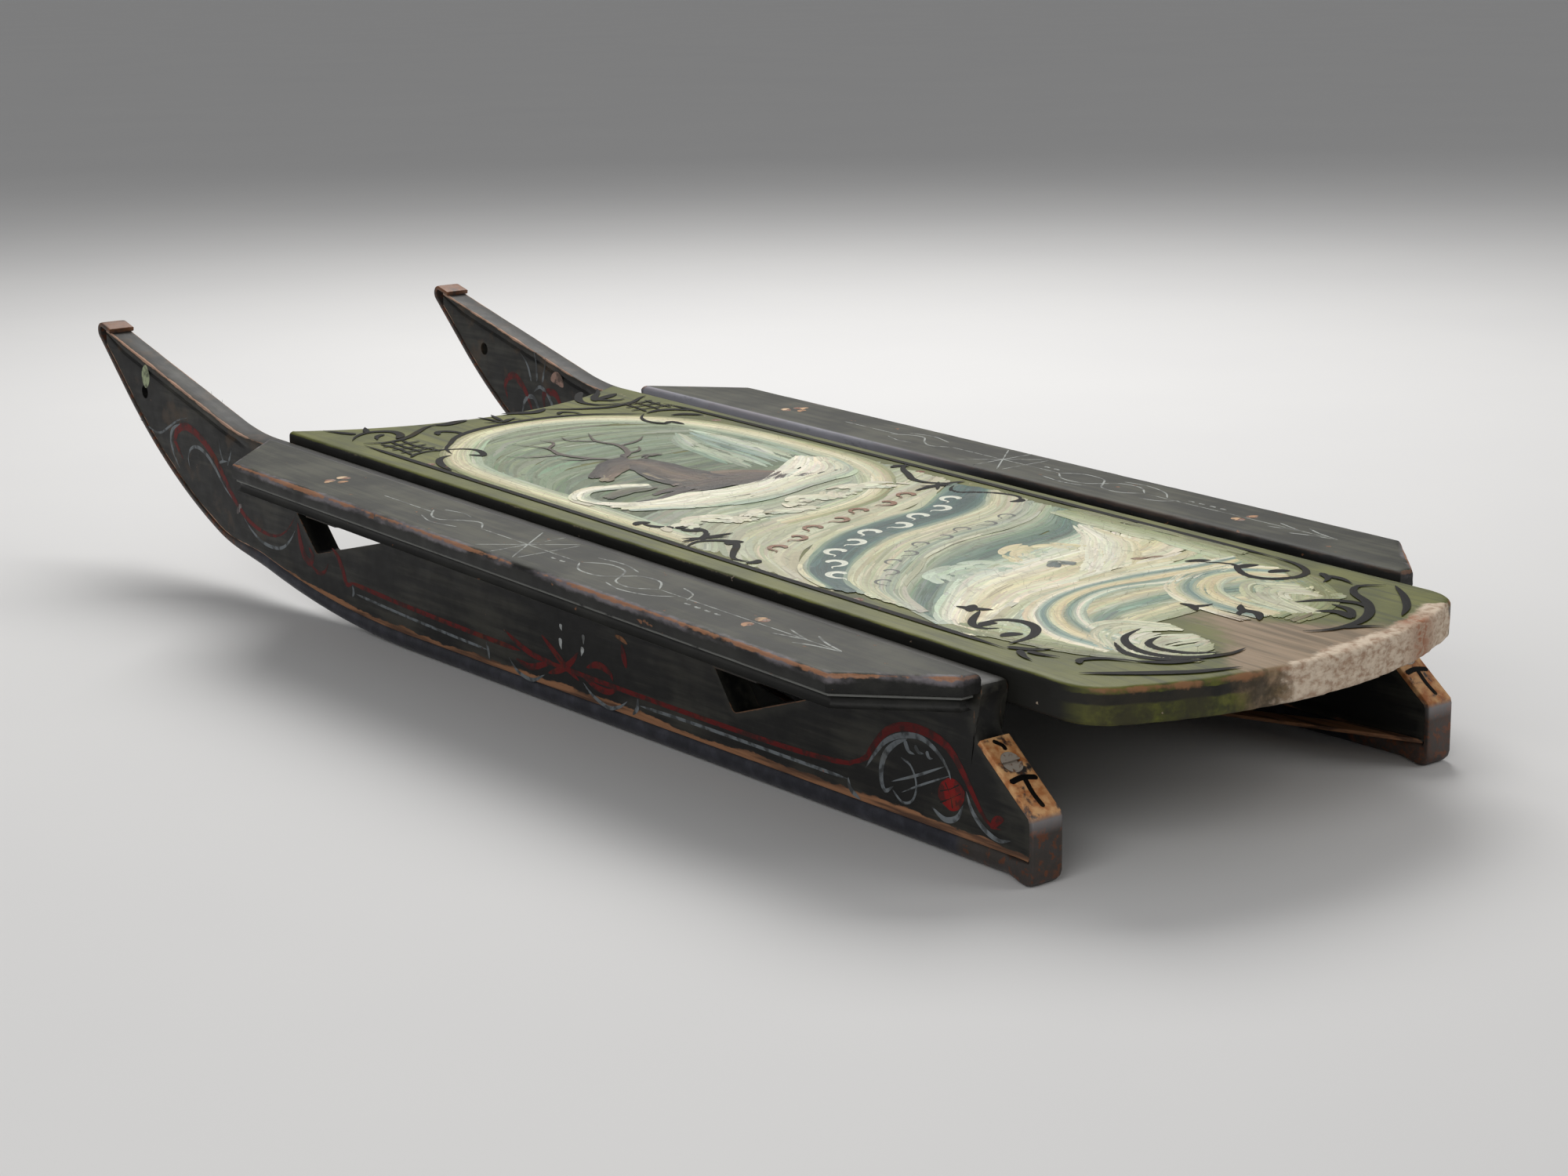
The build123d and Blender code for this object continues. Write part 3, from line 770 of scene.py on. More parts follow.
iron_material = iron_finish()
for (name, side), seed in zip(both_sides, (31, 41)):
    tube = iron_tube(seed) * (side, 1, 1)
    middle = (side * runner_x, rear, 0)
    plug, plug_faces = screw_cutter()
    iron = sawn(tube + middle, tube_faces(*tube.shape[:2]), [(plug + middle, plug_faces)])
    spots = places_of(iron)
    at_heel = (spots[:, 1] < 60) * 1.0
    on_slant = at_heel * ease(spots[:, 2], heel_height - 2, heel_height + 1)
    on_fold = ease(spots[:, 1], 900, 1000) * ease(
        spots[:, 2] - curl_z - (spots[:, 1] - curl_y) * tan(horn_angle), 2.5, 4.5)
    flat_prow = ease(spots[:, 1], prow(prow_low)[0], prow(flat_angle)[0])
    # A narrow band at the heel's bend that carries the painted highlight.
    bend = np.exp(-((spots[:, 2] - heel_height + 1.5) / 1.6) ** 2) * (spots[:, 1] < 4)
    store(iron, strap=np.maximum(flat_prow, at_heel), painted=on_slant, fold=on_fold, bend=bend)
    finish_piece(f"{name}_shoe_iron", iron, iron_material, [f"{name}_shoe"], 42.0)


def fixing_finish(name, bright, rust, rusty):
    """Old steel of a screw or nail head, partly rusted."""
    f = Finish(name, Metallic=0.25)
    patches = f.step(f.noise(3.0, 5.0), 0.60 - rusty * 0.3, 0.75 - rusty * 0.2)
    return f.done(Base_Color=f.mix(bright, rust, patches), Roughness=patches * 0.3 + 0.36,
                  Normal=f.bump(patches, 0.15))


screw_steel = fixing_finish("screw_steel", shade(170, 160, 148), shade(112, 80, 58), 0.3)
nail_steel = fixing_finish("nail_steel", shade(116, 100, 88), shade(110, 66, 42), 0.9)
for fixing, steel in (("strap_screws", screw_steel), ("deck_nails", nail_steel),
                      ("rail_nails", nail_steel)):
    coat(fixing, steel)

# ---------------------------------------------------------------- deck board
# One wide 20 mm pine board with a hollow front edge and a round tail, nailed to the bars.  It is
# painted olive green, its edges black; the tail is rubbed to bare fuzzy wood.
deck_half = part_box("deck_board")[1].x / mm
deck_lift = 0.5  # deck top above the rails'
deck_tip = 788.0
deck_hollow = 46.0
deck_overhang = 51.0
deck_bulge = 36.0
deck_corner = 28.0
tip_round = 4.0


def on_seat(x, y, lift):
    """World place in mm of a point of the seat's plan, `lift` above the rails' tops."""
    y_world = rear + y * cos(seat_tilt) - lift * sin(seat_tilt)
    z_world = seat_height + y * sin(seat_tilt) + lift * cos(seat_tilt)
    return np.stack(np.broadcast_arrays(x, y_world, z_world), -1)


def on_deck(x, y, lift):
    """World place in mm of a point `lift` above the deck."""
    return on_seat(x, y, lift + deck_lift)


def sweep_angles(middle, start, end, radius, gap=2.5):
    """Points on an arc from the angle `start` to `end`, about `gap` apart."""
    count = max(3, int(abs(end - start) * radius / gap))
    turn = np.linspace(start, end, count)
    return np.array(middle) + radius * np.stack([np.cos(turn), np.sin(turn)], -1)


def deck_outline():
    """Half the plan by formula, then the other half: hollow arc, tip, side, corner, tail arc."""
    front_radius = (deck_half ** 2 + deck_hollow ** 2) / (2 * deck_hollow)
    front_middle = deck_tip - deck_hollow + front_radius
    tip_x = deck_half - tip_round
    tip_y = front_middle - sqrt((front_radius + tip_round) ** 2 - tip_x ** 2)
    tip_angle = np.arctan2(tip_y - front_middle, tip_x)
    tail_radius = (deck_half ** 2 + deck_bulge ** 2) / (2 * deck_bulge)
    tail_middle = tail_radius - deck_overhang
    corner_x = deck_half - deck_corner
    corner_y = tail_middle - sqrt((tail_radius - deck_corner) ** 2 - corner_x ** 2)
    corner_angle = np.arctan2(corner_y - tail_middle, corner_x)
    half_plan = np.vstack([
        sweep_angles((0, front_middle), -pi / 2, tip_angle, front_radius)[:-1],
        sweep_angles((tip_x, tip_y), tip_angle + pi, 0, tip_round, 1.0)[:-1],
        split([(deck_half, tip_y), (deck_half, corner_y)], 2.5, closed=False)[:-1],
        sweep_angles((corner_x, corner_y), 0, corner_angle, deck_corner)[:-1],
        sweep_angles((0, tail_middle), corner_angle, -pi / 2, tail_radius),
    ])
    return np.vstack([half_plan, half_plan[-2:0:-1] * (-1, 1)])


def inward(outline):
    """Unit vectors across a closed clockwise outline, pointing inside."""
    along = np.roll(outline, -1, axis=0) - np.roll(outline, 1, axis=0)
    along /= np.linalg.norm(along, axis=1, keepdims=True)
    return np.stack([along[:, 1], -along[:, 0]], -1)


def edge_board(ring_at, profile, seed, wear, surface):
    """A board whose edge has the `profile`, pairs of inset and drop, all round its outline.

    `ring_at` gives the outline moved in by an inset; each ring is also moved down by its drop,
    and noise that dies away over the first few millimetres rubs the arrises down.
    """
    inset, drop = np.array(profile).T
    ring = np.stack([ring_at(step) for step in inset])
    across = ring_at(1.0) - ring_at(0.0)
    fall = np.broadcast_to(drop[:, None], ring.shape[:2])
    places = np.concatenate([ring, fall[..., None]], -1)
    rub = np.abs(ripple(places, 30.0, seed) + 0.6 * ripple(places, 9.0, seed + 1)) * wear
    rub = rub * np.exp(-inset[:, None] / 2.0)
    ring = ring + across * rub[..., None]
    return surface(ring[..., 0], ring[..., 1], -fall - 0.25 * rub * (fall < 4)), inset, drop


deck_profile = [(16, 0), (9, 0), (5, 0.02), (3, 0.05), (1.7, 0.35), (0.8, 0.95), (0.2, 1.9),
                (0, 3.0), (0, 6), (0, 10), (0, 14), (0, 18), (0.3, 19.1), (0.9, 19.75), (2, 20),
                (8, 20)]
deck_plan = deck_outline()
tail_share = ease(-deck_plan[:, 1], -6.0, 34.0)
deck_wear = 0.45 + 1.1 * tail_share
deck_tips = np.array([(-deck_half, deck_tip), (deck_half, deck_tip)])
tip_gap = np.linalg.norm(deck_plan[:, None] - deck_tips, axis=2).min(1)


def deck_ring(inset):
    """The deck's plan moved in by `inset`, by less close to the sharp front tips."""
    return deck_plan + inward(deck_plan) * np.minimum(inset, 0.6 + 0.36 * tip_gap)[:, None]


deck_rings, deck_inset, deck_drop = edge_board(deck_ring, deck_profile, 11, deck_wear, on_deck)


def seat_wear(f, paint, grain):
    """The paint rubbed to brown wood by sitting: a patch up the middle, widest at the tail."""
    spot = f.where()
    x = f.node("SeparateXYZ", None, {0: spot}, out=0) / mm
    y = f.node("SeparateXYZ", None, {0: spot}, out=1) / mm - rear
    ahead = f.step(y, -48, 62)
    ragged = f.noise(18.0, 7.0, (1, 0.6, 1)) * 24 + f.noise(3.0, 5.0, (1, 0.4, 1)) * 12
    wide = (1 - ahead) * (1 - ahead) * 56 + 8
    rubbed = (1 - f.step(abs(x - 3) - wide + ragged, 9, 27)) * (1 - f.step(y + ragged, 46, 74))
    return f.mix(paint, f.mix(shade(104, 84, 62), shade(150, 126, 100), grain), rubbed * 0.88)


def deck_finish():
    """Olive green paint, streaked along the board; a black edge; bare grey wood at the tail."""
    f = Finish("deck_paint", Specular_IOR_Level=0.28)
    grain = f.noise(6.0, 6.0, (1, 0.05, 1))
    fine = f.noise(1.5, 4.0, (1, 0.08, 1))
    cloud = f.noise(50.0, 5.0)
    olive = f.mix(shade(76, 80, 24), shade(100, 102, 40), f.step(cloud, 0.35, 0.65))
    olive = f.mix(olive, shade(58, 62, 26), f.step(grain, 0.46, 0.72))
    edge = f.mark("edge")
    drop = f.mark("drop")
    tail = f.mark("tail")
    ragged = f.noise(16.0, 6.0, (1, 0.5, 1)) + f.noise(3.0, 4.0) * 0.35
    black = f.step(drop + ragged * 1.4, 1.6, 2.3)
    ragged_drop = drop + ragged * 3.0
    band_only = f.step(ragged_drop, 5.0, 6.0) * (1 - f.step(ragged_drop, 10.5, 12.0))
    black = black * (1 - tail) + band_only * tail
    colour = f.mix(olive, shade(24, 24, 21), black)
    colour = seat_wear(f, colour, f.step(grain, 0.35, 0.65))
    grime = f.step(ragged, 0.42, 0.8) * tail * f.step(drop, 0.3, 2.0)
    colour = f.mix(colour, shade(42, 38, 28), grime * 0.8)
    # The top arris is lightened: partly worn paint, partly a painted highlight along the rounded
    # edge; at the tail it is worn to wood.
    arris = abs(drop - 1.0) * (1 - tail * 0.72) + edge * (0.9 - tail * 0.6)
    rubbed = f.step(ragged * 2.6 - arris, 1.0, 1.7)
    colour = f.mix(colour, f.mix(shade(136, 128, 92), shade(140, 98, 66), tail), rubbed * 0.8)
    chips = f.step(f.noise(9.0, 6.0), 0.72, 0.74)
    fuzz = f.noise(5.0, 9.0, (1, 1, 1.8))
    pale = f.step(fuzz * 0.8 + fine * 0.2, 0.3, 0.62)
    wood = f.mix(shade(150, 122, 100), shade(206, 190, 170), pale)
    wood = f.mix(wood, shade(142, 86, 54), f.mark("rust") * f.step(fuzz, 0.36, 0.6) * 0.9)
    bare = f.step(f.mark("bare") * 1.5 + ragged * 0.9 - edge * 0.06, 1.36, 1.62)
    bare = bare.most(chips * 0.5)
    colour = f.mix(colour, wood, bare)
    rough = 0.46 + fine * 0.16 + bare * 0.3
    height = grain * 0.4 + fine * 0.2 + fuzz * bare * 2.4
    return f.done(Base_Color=colour, Roughness=rough, Normal=f.bump(height, 0.45, 0.9))


deck_around = len(deck_plan)
tail_x = deck_plan[:, 0]
tail_mark = ease(-deck_plan[:, 1], -4.0, 20.0)
deck_ends = {
    "tail": tail_mark,
    "bare": tail_mark * ease(tail_x, -92, 10) * (1 - ease(tail_x, 116, 142)),
    "rust": tail_mark * np.exp(-((tail_x - 84) / 13) ** 2),
}
deck_marks = {mark: np.tile(values, len(deck_profile))[:, None]
              for mark, values in deck_ends.items()}
deck_marks["edge"] = np.repeat(deck_inset, deck_around)[:, None]
deck_marks["drop"] = np.repeat(deck_drop, deck_around)[:, None]
lay_out("deck_board_wood", deck_rings, tube_faces(len(deck_profile), deck_around), deck_finish(),
        deck_marks, ["deck_board"])

# ---------------------------------------------------------------- deck picture
# The picture is oil paint laid on thickly: bands of brush strokes that run between two guide
# lines, one band over another, each stroke a low ridge of paint of its own colour.
drawn_width = 294.0  # the picture's places are given for a board this wide
drawn_middle = 2.0  # and with its middle at this x
paint_level = 0.03
paint_step = 0.00012
stroke_order = itertools.count()
brush_hand = np.random.default_rng(73)


def to_deck(points):
    """Places in the picture, brought to the deck's own width."""
    return (np.asarray(points, float) - (drawn_middle, 0)) * (2 * deck_half / drawn_width, 1)


def paint_strokes(paths, widths, base, rise, surface, colours):
    """Closed lens-shaped ridges carried along each path.

    A section has a point at each edge, one `rise` above the middle and one just under the
    surface; `widths` gives the full width at every step of every path.
    """
    along = np.gradient(paths, axis=1)
    along /= np.maximum(np.linalg.norm(along, axis=2, keepdims=True), 1e-9)
    across = np.stack([-along[..., 1], along[..., 0]], -1)
    offset = np.array([-0.5, 0.0, 0.5, 0.0])
    lift = np.array([0.0, 1.0, 0.0, 0.0])
    sink = np.array([0.0, 0.0, 0.0, 1.0])
    flat = paths[:, :, None] + across[:, :, None] * (widths[..., None] * offset)[..., None]
    full = widths / np.maximum(widths.max(axis=1, keepdims=True), 1e-9)
    height = base[:, None, None] + (rise * full)[..., None] * lift - 0.12 * sink
    places = surface(flat[..., 0], flat[..., 1], height)
    count, steps = paths.shape[:2]
    n, i, j = np.meshgrid(np.arange(count), np.arange(steps - 1), np.arange(4), indexing="ij")
    start = (n * steps + i) * 4
    k = (j + 1) % 4
    quads = np.stack([start + j, start + k, start + 4 + k, start + 4 + j], -1).reshape(-1, 4)
    first = (np.arange(count) * steps * 4)[:, None] + np.arange(4)
    last = first[:, ::-1] + (steps - 1) * 4
    run = np.linalg.norm(np.diff(paths, axis=1), axis=2).cumsum(1)
    run = np.concatenate([run[:, :1] * 0, run], 1)[..., None] + offset * 0
    aside = widths[..., None] * offset + 37.0 * np.arange(count)[:, None, None]
    tones = np.broadcast_to(colours[:, None, None, :], (count, steps, 4, 3))
    return {
        "places": places.reshape(-1, 3),
        "faces": np.vstack([quads, first, last]),
        "paint": np.concatenate([tones, np.ones((count, steps, 4, 1))], -1).reshape(-1, 4),
        "run": run.reshape(-1, 1),
        "aside": aside.reshape(-1, 1),
    }


def next_levels(count):
    """A level for each new stroke, each a hair above the one laid before."""
    laid_before = list(itertools.islice(stroke_order, count))
    return paint_level + paint_step * np.array(laid_before)


def band(near, far, colours, count, width, length, rise=0.10, spread=12.0, loose=0.0):
    """Brush strokes between the picture's guide lines `near` and `far`.

    A stroke keeps its share v of the way across; u runs along.  Its colour is read from
    `colours` at v and varied by up to `spread`.  With `loose` at 1 the band's ends are ragged.
    """
    one, other = curve_through(near), curve_through(far)
    v = brush_hand.uniform(0, 1, count)
    size = brush_hand.uniform(0.6, 1.25, count) * length
    start = brush_hand.uniform(-size * (1 - loose) / 2, 1 - size * (1 + loose) / 2)
    steps = np.linspace(0, 1, 9)
    u = np.clip(start[:, None] + size[:, None] * steps, 0, 1)
    drift = v[:, None] + brush_hand.normal(0, 0.03, (count, 1)) * (steps - 0.5)
    drift = np.clip(drift, 0, 1)[..., None]
    paths = to_deck(one(u) * (1 - drift) + other(u) * drift)
    swell = np.sin(pi * np.clip(steps, 0.02, 0.98)) ** 0.5
    widths = brush_hand.uniform(0.6, 1.3, count)[:, None] * width * swell
    stops = np.linspace(0, 1, len(colours))
    mixed = np.stack([np.interp(v, stops, np.array(colours)[:, k]) for k in range(3)], -1)
    mixed = mixed + brush_hand.normal(0, spread, (count, 1))
    mixed = mixed + brush_hand.normal(0, spread / 4, (count, 3))
    tone = linear(*np.clip(mixed, 8, 250).T).T
    return paint_strokes(paths, widths, next_levels(count), rise, on_deck, tone)


def line(points, width, colour, surface, swell="both", rise=0.08, level=None, steps=26):
    """One stroke of a fine brush through `points`, widest where `swell` says."""
    t = np.linspace(0, 1, steps)
    shape = {
        "both": np.sin(pi * t) ** 0.6,
        "end": np.clip(t * 1.6, 0, 1) ** 0.8 * np.sqrt(np.clip((1 - t) * 9, 0, 1)),
        "start": np.clip((1 - t) * 1.6, 0, 1) ** 0.8 * np.sqrt(np.clip(t * 9, 0, 1)),
        "even": np.sqrt(np.clip(np.minimum(t, 1 - t) * 16, 0, 1)),
    }[swell]
    widths = np.maximum(shape * width, 0.03)[None]
    base = next_levels(1) if level is None else np.array([level])
    tone = linear(*colour)[None]
    return paint_strokes(curve_through(points)(t)[None], widths, base, rise, surface, tone)


def fine_lines(strokes, surface, rise, level, step):
    """Fine strokes of a width, swell, colour and places, each `step` above the one before."""
    return [line(points, width, colour, surface, swell, rise, level + step * n)
            for n, (width, swell, colour, points) in enumerate(strokes)]


def lay_paint(name, parts, finish):
    """Joins painted strokes into one piece."""
    starts = np.cumsum([0] + [len(part["places"]) for part in parts[:-1]])
    faces = np.vstack([part["faces"] + start for part, start in zip(parts, starts)])
    marks = {mark: np.vstack([part[mark] for part in parts])
             for mark in ("paint", "run", "aside")}
    places = np.vstack([part["places"] for part in parts])
    lay_out(name, places, faces.tolist(), finish, marks, sharp=50.0)


def oil_paint(name, streak, rough, relief, crackle, shine=0.4, fade=0.0, worn_by_seat=False):
    """Oil paint whose bristle marks follow each stroke, with dirt, fine cracks and rubbed gaps.

    The noise of the bristles reads a spot in mm, so its sizes are a thousand times larger.
    """
    f = Finish(name, Specular_IOR_Level=shine)
    spot = f.node("CombineXYZ", None, {0: f.mark("run") * 0.035, 1: f.mark("aside")})
    bristle = f.noise(1000 / 1.6, 3.0, spot=spot)
    soft = f.noise(1000 / 0.35, 2.0, spot=spot)
    colour = f.tint(f.mark("paint", "Color"), 1 + (bristle - 0.5) * streak + (soft - 0.5) * streak)
    dirt = f.step(f.noise(22.0, 7.0), 0.56, 0.76)
    colour = f.mix(colour, shade(84, 74, 50), dirt * 0.45)
    cracks = f.node("TexVoronoi", {"feature": "DISTANCE_TO_EDGE"},
                    {"Vector": f.where((1, 0.7, 1)), "Scale": 140.0})
    cracks = (1 - f.step(cracks, 0.0, 0.03)) * crackle
    colour = f.mix(colour, shade(60, 52, 38), cracks * 0.35)
    chips = f.step(f.noise(5.0, 6.0), 0.735, 0.75)
    colour = f.mix(colour, shade(150, 92, 58), chips * 0.7)
    if worn_by_seat:
        colour = seat_wear(f, colour, f.step(f.noise(6.0, 6.0, (1, 0.05, 1)), 0.35, 0.65))
    if fade:
        colour = f.mix(colour, shade(34, 33, 31), f.step(f.noise(8.0, 6.0), 0.46, 0.60) * fade)
    height = bristle * 0.6 + soft * 0.3 - cracks * 0.3
    rough = rough + (bristle - 0.5) * 0.2 + dirt * 0.2
    return f.done(Base_Color=colour, Roughness=rough, Normal=f.bump(height, relief, 0.9))


picture_paint = oil_paint("picture_oil", streak=0.42, rough=0.36, relief=0.22, crackle=1.0,
                          worn_by_seat=True)
line_paint = oil_paint("line_enamel", streak=0.25, rough=0.55, relief=0.10, crackle=0.3,
                       shine=0.08)
stripe_paint = oil_paint("stripe_enamel", streak=0.25, rough=0.5, relief=0.10, crackle=0.3,
                         shine=0.15, fade=0.7)


def winter_sky():
    """The sea-green sky, the pale ring round it and the misty ground below."""
    sky_low = [(-118, 400), (-60, 428), (0, 430), (60, 440), (122, 450)]
    sky_top = [(-114, 585), (-92, 648), (-46, 690), (8, 700), (60, 690), (100, 655), (122, 590)]
    sky = [(84, 94, 62), (88, 102, 74), (106, 122, 94), (118, 132, 104), (134, 144, 114)]
    ring_out = [(-122, 336), (-122, 450), (-120, 590), (-104, 640), (-80, 670), (-46, 696),
                (4, 707), (52, 699), (88, 674), (114, 636), (126, 575), (126, 480), (120, 440),
                (103, 405), (78, 377), (45, 357), (0, 347), (-40, 342)]
    ring_in = [(-104, 346), (-103, 450), (-100, 580), (-86, 622), (-64, 650), (-38, 674),
               (4, 686), (42, 678), (70, 658), (92, 628), (104, 570), (104, 490), (98, 455),
               (84, 426), (62, 398), (36, 380), (0, 368), (-40, 364)]
    ground_low = [(-122, 200), (-104, 262), (-56, 298), (20, 322), (84, 350), (124, 372)]
    ground = [(186, 184, 152), (176, 176, 146), (158, 164, 136), (132, 142, 118)]
    streaks_left = [(34, 478), (42, 520), (48, 568), (70, 608)]
    streaks_right = [(98, 474), (104, 520), (106, 570), (98, 612)]
    return [
        band(sky_low, sky_top, sky, 620, 8.0, 0.30),
        band(ground_low, sky_low, ground, 420, 8.0, 0.28),
        band(streaks_left, streaks_right, [(128, 144, 122), (172, 180, 156),
             (118, 142, 130), (190, 194, 170), (126, 142, 118)], 90, 4.5, 0.34,
             loose=1.0),
        band(ring_out, ring_in, [(128, 130, 84), (196, 190, 150), (208, 202, 168),
             (180, 184, 152), (150, 164, 138)], 520, 4.4, 0.12, 0.16),
    ]


def mound(x, y, half, base, light, dark):
    """A snow hummock: strokes that follow its round top, light outside and shadowed within."""
    outer = [(x - half, base), (x - half * 0.8, (base + y) / 2 + 4), (x - half * 0.35, y - 2),
             (x + half * 0.1, y), (x + half * 0.6, y - 6), (x + half, base)]
    inner = [(x - half * 0.35, base), (x - half * 0.2, base + 3), (x, base + 6),
             (x + half * 0.2, base + 5), (x + half * 0.3, base + 2), (x + half * 0.4, base)]
    return band(outer, inner, [light, light, dark], 40, 6.0, 0.22, 0.18, 9.0)


def snow():
    """The ledge the deer lies on, the hummocks in front and the drift rising to the right."""
    white, cream, cold = (226, 222, 200), (208, 204, 178), (158, 170, 150)
    ledge_top = [(-102, 462), (-84, 447), (-60, 444), (-38, 447), (-12, 441), (20, 446),
                 (42, 458), (62, 470), (92, 492)]
    ledge_low = [(-96, 430), (-72, 419), (-50, 405), (-10, 402), (20, 408), (50, 418),
                 (84, 426), (100, 440), (108, 470)]
    hook_out = [(-108, 456), (-110, 476), (-98, 492), (-80, 499), (-60, 495), (-42, 485)]
    hook_in = [(-97, 460), (-98, 473), (-90, 482), (-78, 487), (-62, 483), (-46, 475)]
    parts = [
        band(ledge_top, ledge_low, [white, white, cream, cold], 260, 5.4, 0.2, 0.22),
        band(hook_out, hook_in, [cream, white, cold], 46, 3.6, 0.4, 0.16),
    ]
    for x, y, half, base in ((-80, 392, 34, 368), (-30, 386, 36, 362), (14, 398, 26, 376),
                             (60, 404, 38, 380)):
        parts.append(mound(x, y, half, base, cream, (186, 190, 166)))
    return parts


def tapered(points, widths, colours, count):
    """A limb or trunk: strokes laid side by side along `points`, between half widths."""
    middle = curve_through(points)(np.linspace(0, 1, 24))
    along = np.gradient(middle, axis=0)
    along /= np.linalg.norm(along, axis=1, keepdims=True)
    across = np.stack([-along[:, 1], along[:, 0]], -1)
    half = np.interp(np.linspace(0, 1, 24), np.linspace(0, 1, len(widths)), widths)[:, None]
    return band(middle - across * half, middle + across * half, colours, count,
                float(np.mean(widths)) * 0.7 + 0.9, 0.6, 0.14, 7.0)


def deer():
    """A plain resting deer: body along the ledge, neck up, head turned left, forked antlers."""
    dark, brown, lit, pale = (42, 34, 26), (68, 54, 40), (100, 82, 60), (160, 146, 116)
    parts = [
        band([(-88, 463), (-66, 470), (-44, 471)], [(-88, 470), (-66, 480), (-44, 480)],
             [(66, 66, 48), (92, 92, 66)], 24, 5.0, 0.6),
        tapered([(-26, 462), (0, 466), (26, 462), (46, 452)], (13, 19, 17, 7),
                [dark, brown, brown, lit], 70),
        tapered([(40, 456), (52, 446), (70, 440), (84, 440)], (6, 4, 2, 1.4), [dark, brown], 16),
        tapered([(-20, 454), (-42, 452), (-62, 445), (-80, 444)], (6, 4, 2.4, 1.6),
                [dark, brown], 18),
        tapered([(-24, 464), (-44, 460), (-58, 456)], (5, 3, 2), [brown, dark], 14),
        tapered([(-6, 470), (-10, 498), (-8, 522), (-10, 546)], (20, 17, 13, 10),
                [dark, brown, lit, brown, dark], 80),
        tapered([(-6, 548), (-20, 545), (-38, 533), (-56, 518)], (11, 12, 8.5, 5),
                [dark, brown, lit], 54),
        tapered([(-46, 520), (-54, 513), (-61, 509)], (5.5, 4.5, 3), [pale, lit], 12),
        tapered([(-22, 512), (-22, 494), (-18, 476)], (4, 6, 5), [pale, lit, brown], 20),
        tapered([(4, 552), (13, 556), (21, 553)], (2, 3.4, 0.8), [brown, dark], 8),
        tapered([(-8, 556), (-3, 566), (1, 569)], (2, 3, 0.8), [brown, dark], 8),
    ]
    antler = (70, 56, 46)
    for side, lean in ((-1, -6), (1, 6)):
        root = -10 + side * 5
        stem = [(root, 560), (root + side * 12, 574), (root + side * 14 + lean, 596),
                (root + side * 10 + lean, 618), (root + side * 22 + lean, 644)]
        tines = [
            [(root + side * 9, 570), (root + side * 22, 574), (root + side * 30, 586)],
            [(root + side * 14 + lean, 594), (root + side * 34 + lean, 600),
             (root + side * 48 + lean, 612)],
            [(root + side * 10 + lean, 616), (root + side * 2, 630), (root + side * 4, 644)],
        ]
        for points, width in [(stem, 4.2)] + [(tine, 2.6) for tine in tines]:
            parts.append(line(to_deck(points), width, antler, on_deck, "start", 0.2))
    parts.append(line(to_deck([(-32, 536), (-29, 538), (-26, 537)]), 2.0, (24, 20, 18), on_deck))
    parts.append(line(to_deck([(-60, 511), (-58, 509), (-56, 508)]), 2.0, (30, 24, 22), on_deck))
    return parts


def ribbon():
    """A teal ribbon across the board, with pale edges, and the pale fold of it below."""
    upper = [(-120, 212), (-113, 236), (-100, 258), (-70, 283), (-50, 296), (-20, 309),
             (20, 319), (50, 325), (84, 346), (118, 366)]
    lower = [(-112, 186), (-102, 212), (-84, 230), (-63, 246), (-38, 262), (-10, 275), (30, 283),
             (70, 292), (96, 304), (124, 330)]
    fold = [(-112, 138), (-100, 168), (-80, 190), (-56, 208), (-20, 233), (20, 247), (60, 252),
            (92, 262), (122, 282)]
    teal, deep, cream = (48, 86, 78), (34, 70, 66), (200, 194, 158)
    return [
        band(lower, fold, [cream, (178, 178, 146), (186, 184, 154), (142, 154, 132),
             (172, 174, 146)], 330, 5.6, 0.26, 0.12),
        band(upper, lower, [cream, teal, deep, deep, teal, cream], 330, 6.0, 0.24,
             0.12, 9.0),
    ]


def running_scroll(near, far, turns, size, width, colour):
    """A row of curls along the middle between two guide lines, each joined to the next."""
    one, other = curve_through(near), curve_through(far)
    parts = []
    for n in range(turns):
        u = np.array([(n + 0.5) / turns, (n + 0.6) / turns])
        place, ahead = (one(u) + other(u)) / 2
        heading = np.arctan2(*(ahead - place)[::-1])
        flip = 1 if n % 2 else -1
        swing = np.linspace(0, 1.55 * pi, 9)
        reach = size * (1.0 - 0.16 * swing)
        curl = np.stack([reach * np.cos(swing + pi), flip * reach * np.sin(swing + pi)], -1)
        turned_curl = curl @ np.array([[cos(heading), sin(heading)], [-sin(heading), cos(heading)]])
        tail = place - 1.5 * size * np.array([cos(heading), sin(heading)])
        points = np.vstack([tail, place + turned_curl])
        parts.append(line(to_deck(points), width, colour, on_deck, "end", 0.16))
    return parts


def flourishes():
    """Plain running curls where the ribbon is dressed: white on teal, umber above, dark below."""
    upper = [(-104, 226), (-82, 268), (-30, 302), (30, 318), (96, 352)]
    lower = [(-100, 206), (-72, 244), (-26, 274), (30, 288), (104, 318)]
    above = [(-96, 300), (-60, 322), (0, 345), (84, 366)]
    above_low = [(-92, 280), (-50, 306), (10, 328), (88, 352)]
    fold_top = [(-96, 200), (-60, 236), (0, 264), (92, 284)]
    fold_low = [(-92, 182), (-56, 214), (0, 246), (96, 266)]
    parts = running_scroll(upper, lower, 9, 9.5, 4.6, (214, 216, 200))
    parts += running_scroll(above, above_low, 7, 8.5, 3.8, (128, 82, 46))
    parts += running_scroll(fold_top, fold_low, 9, 8.0, 2.2, (74, 78, 70))
    return parts


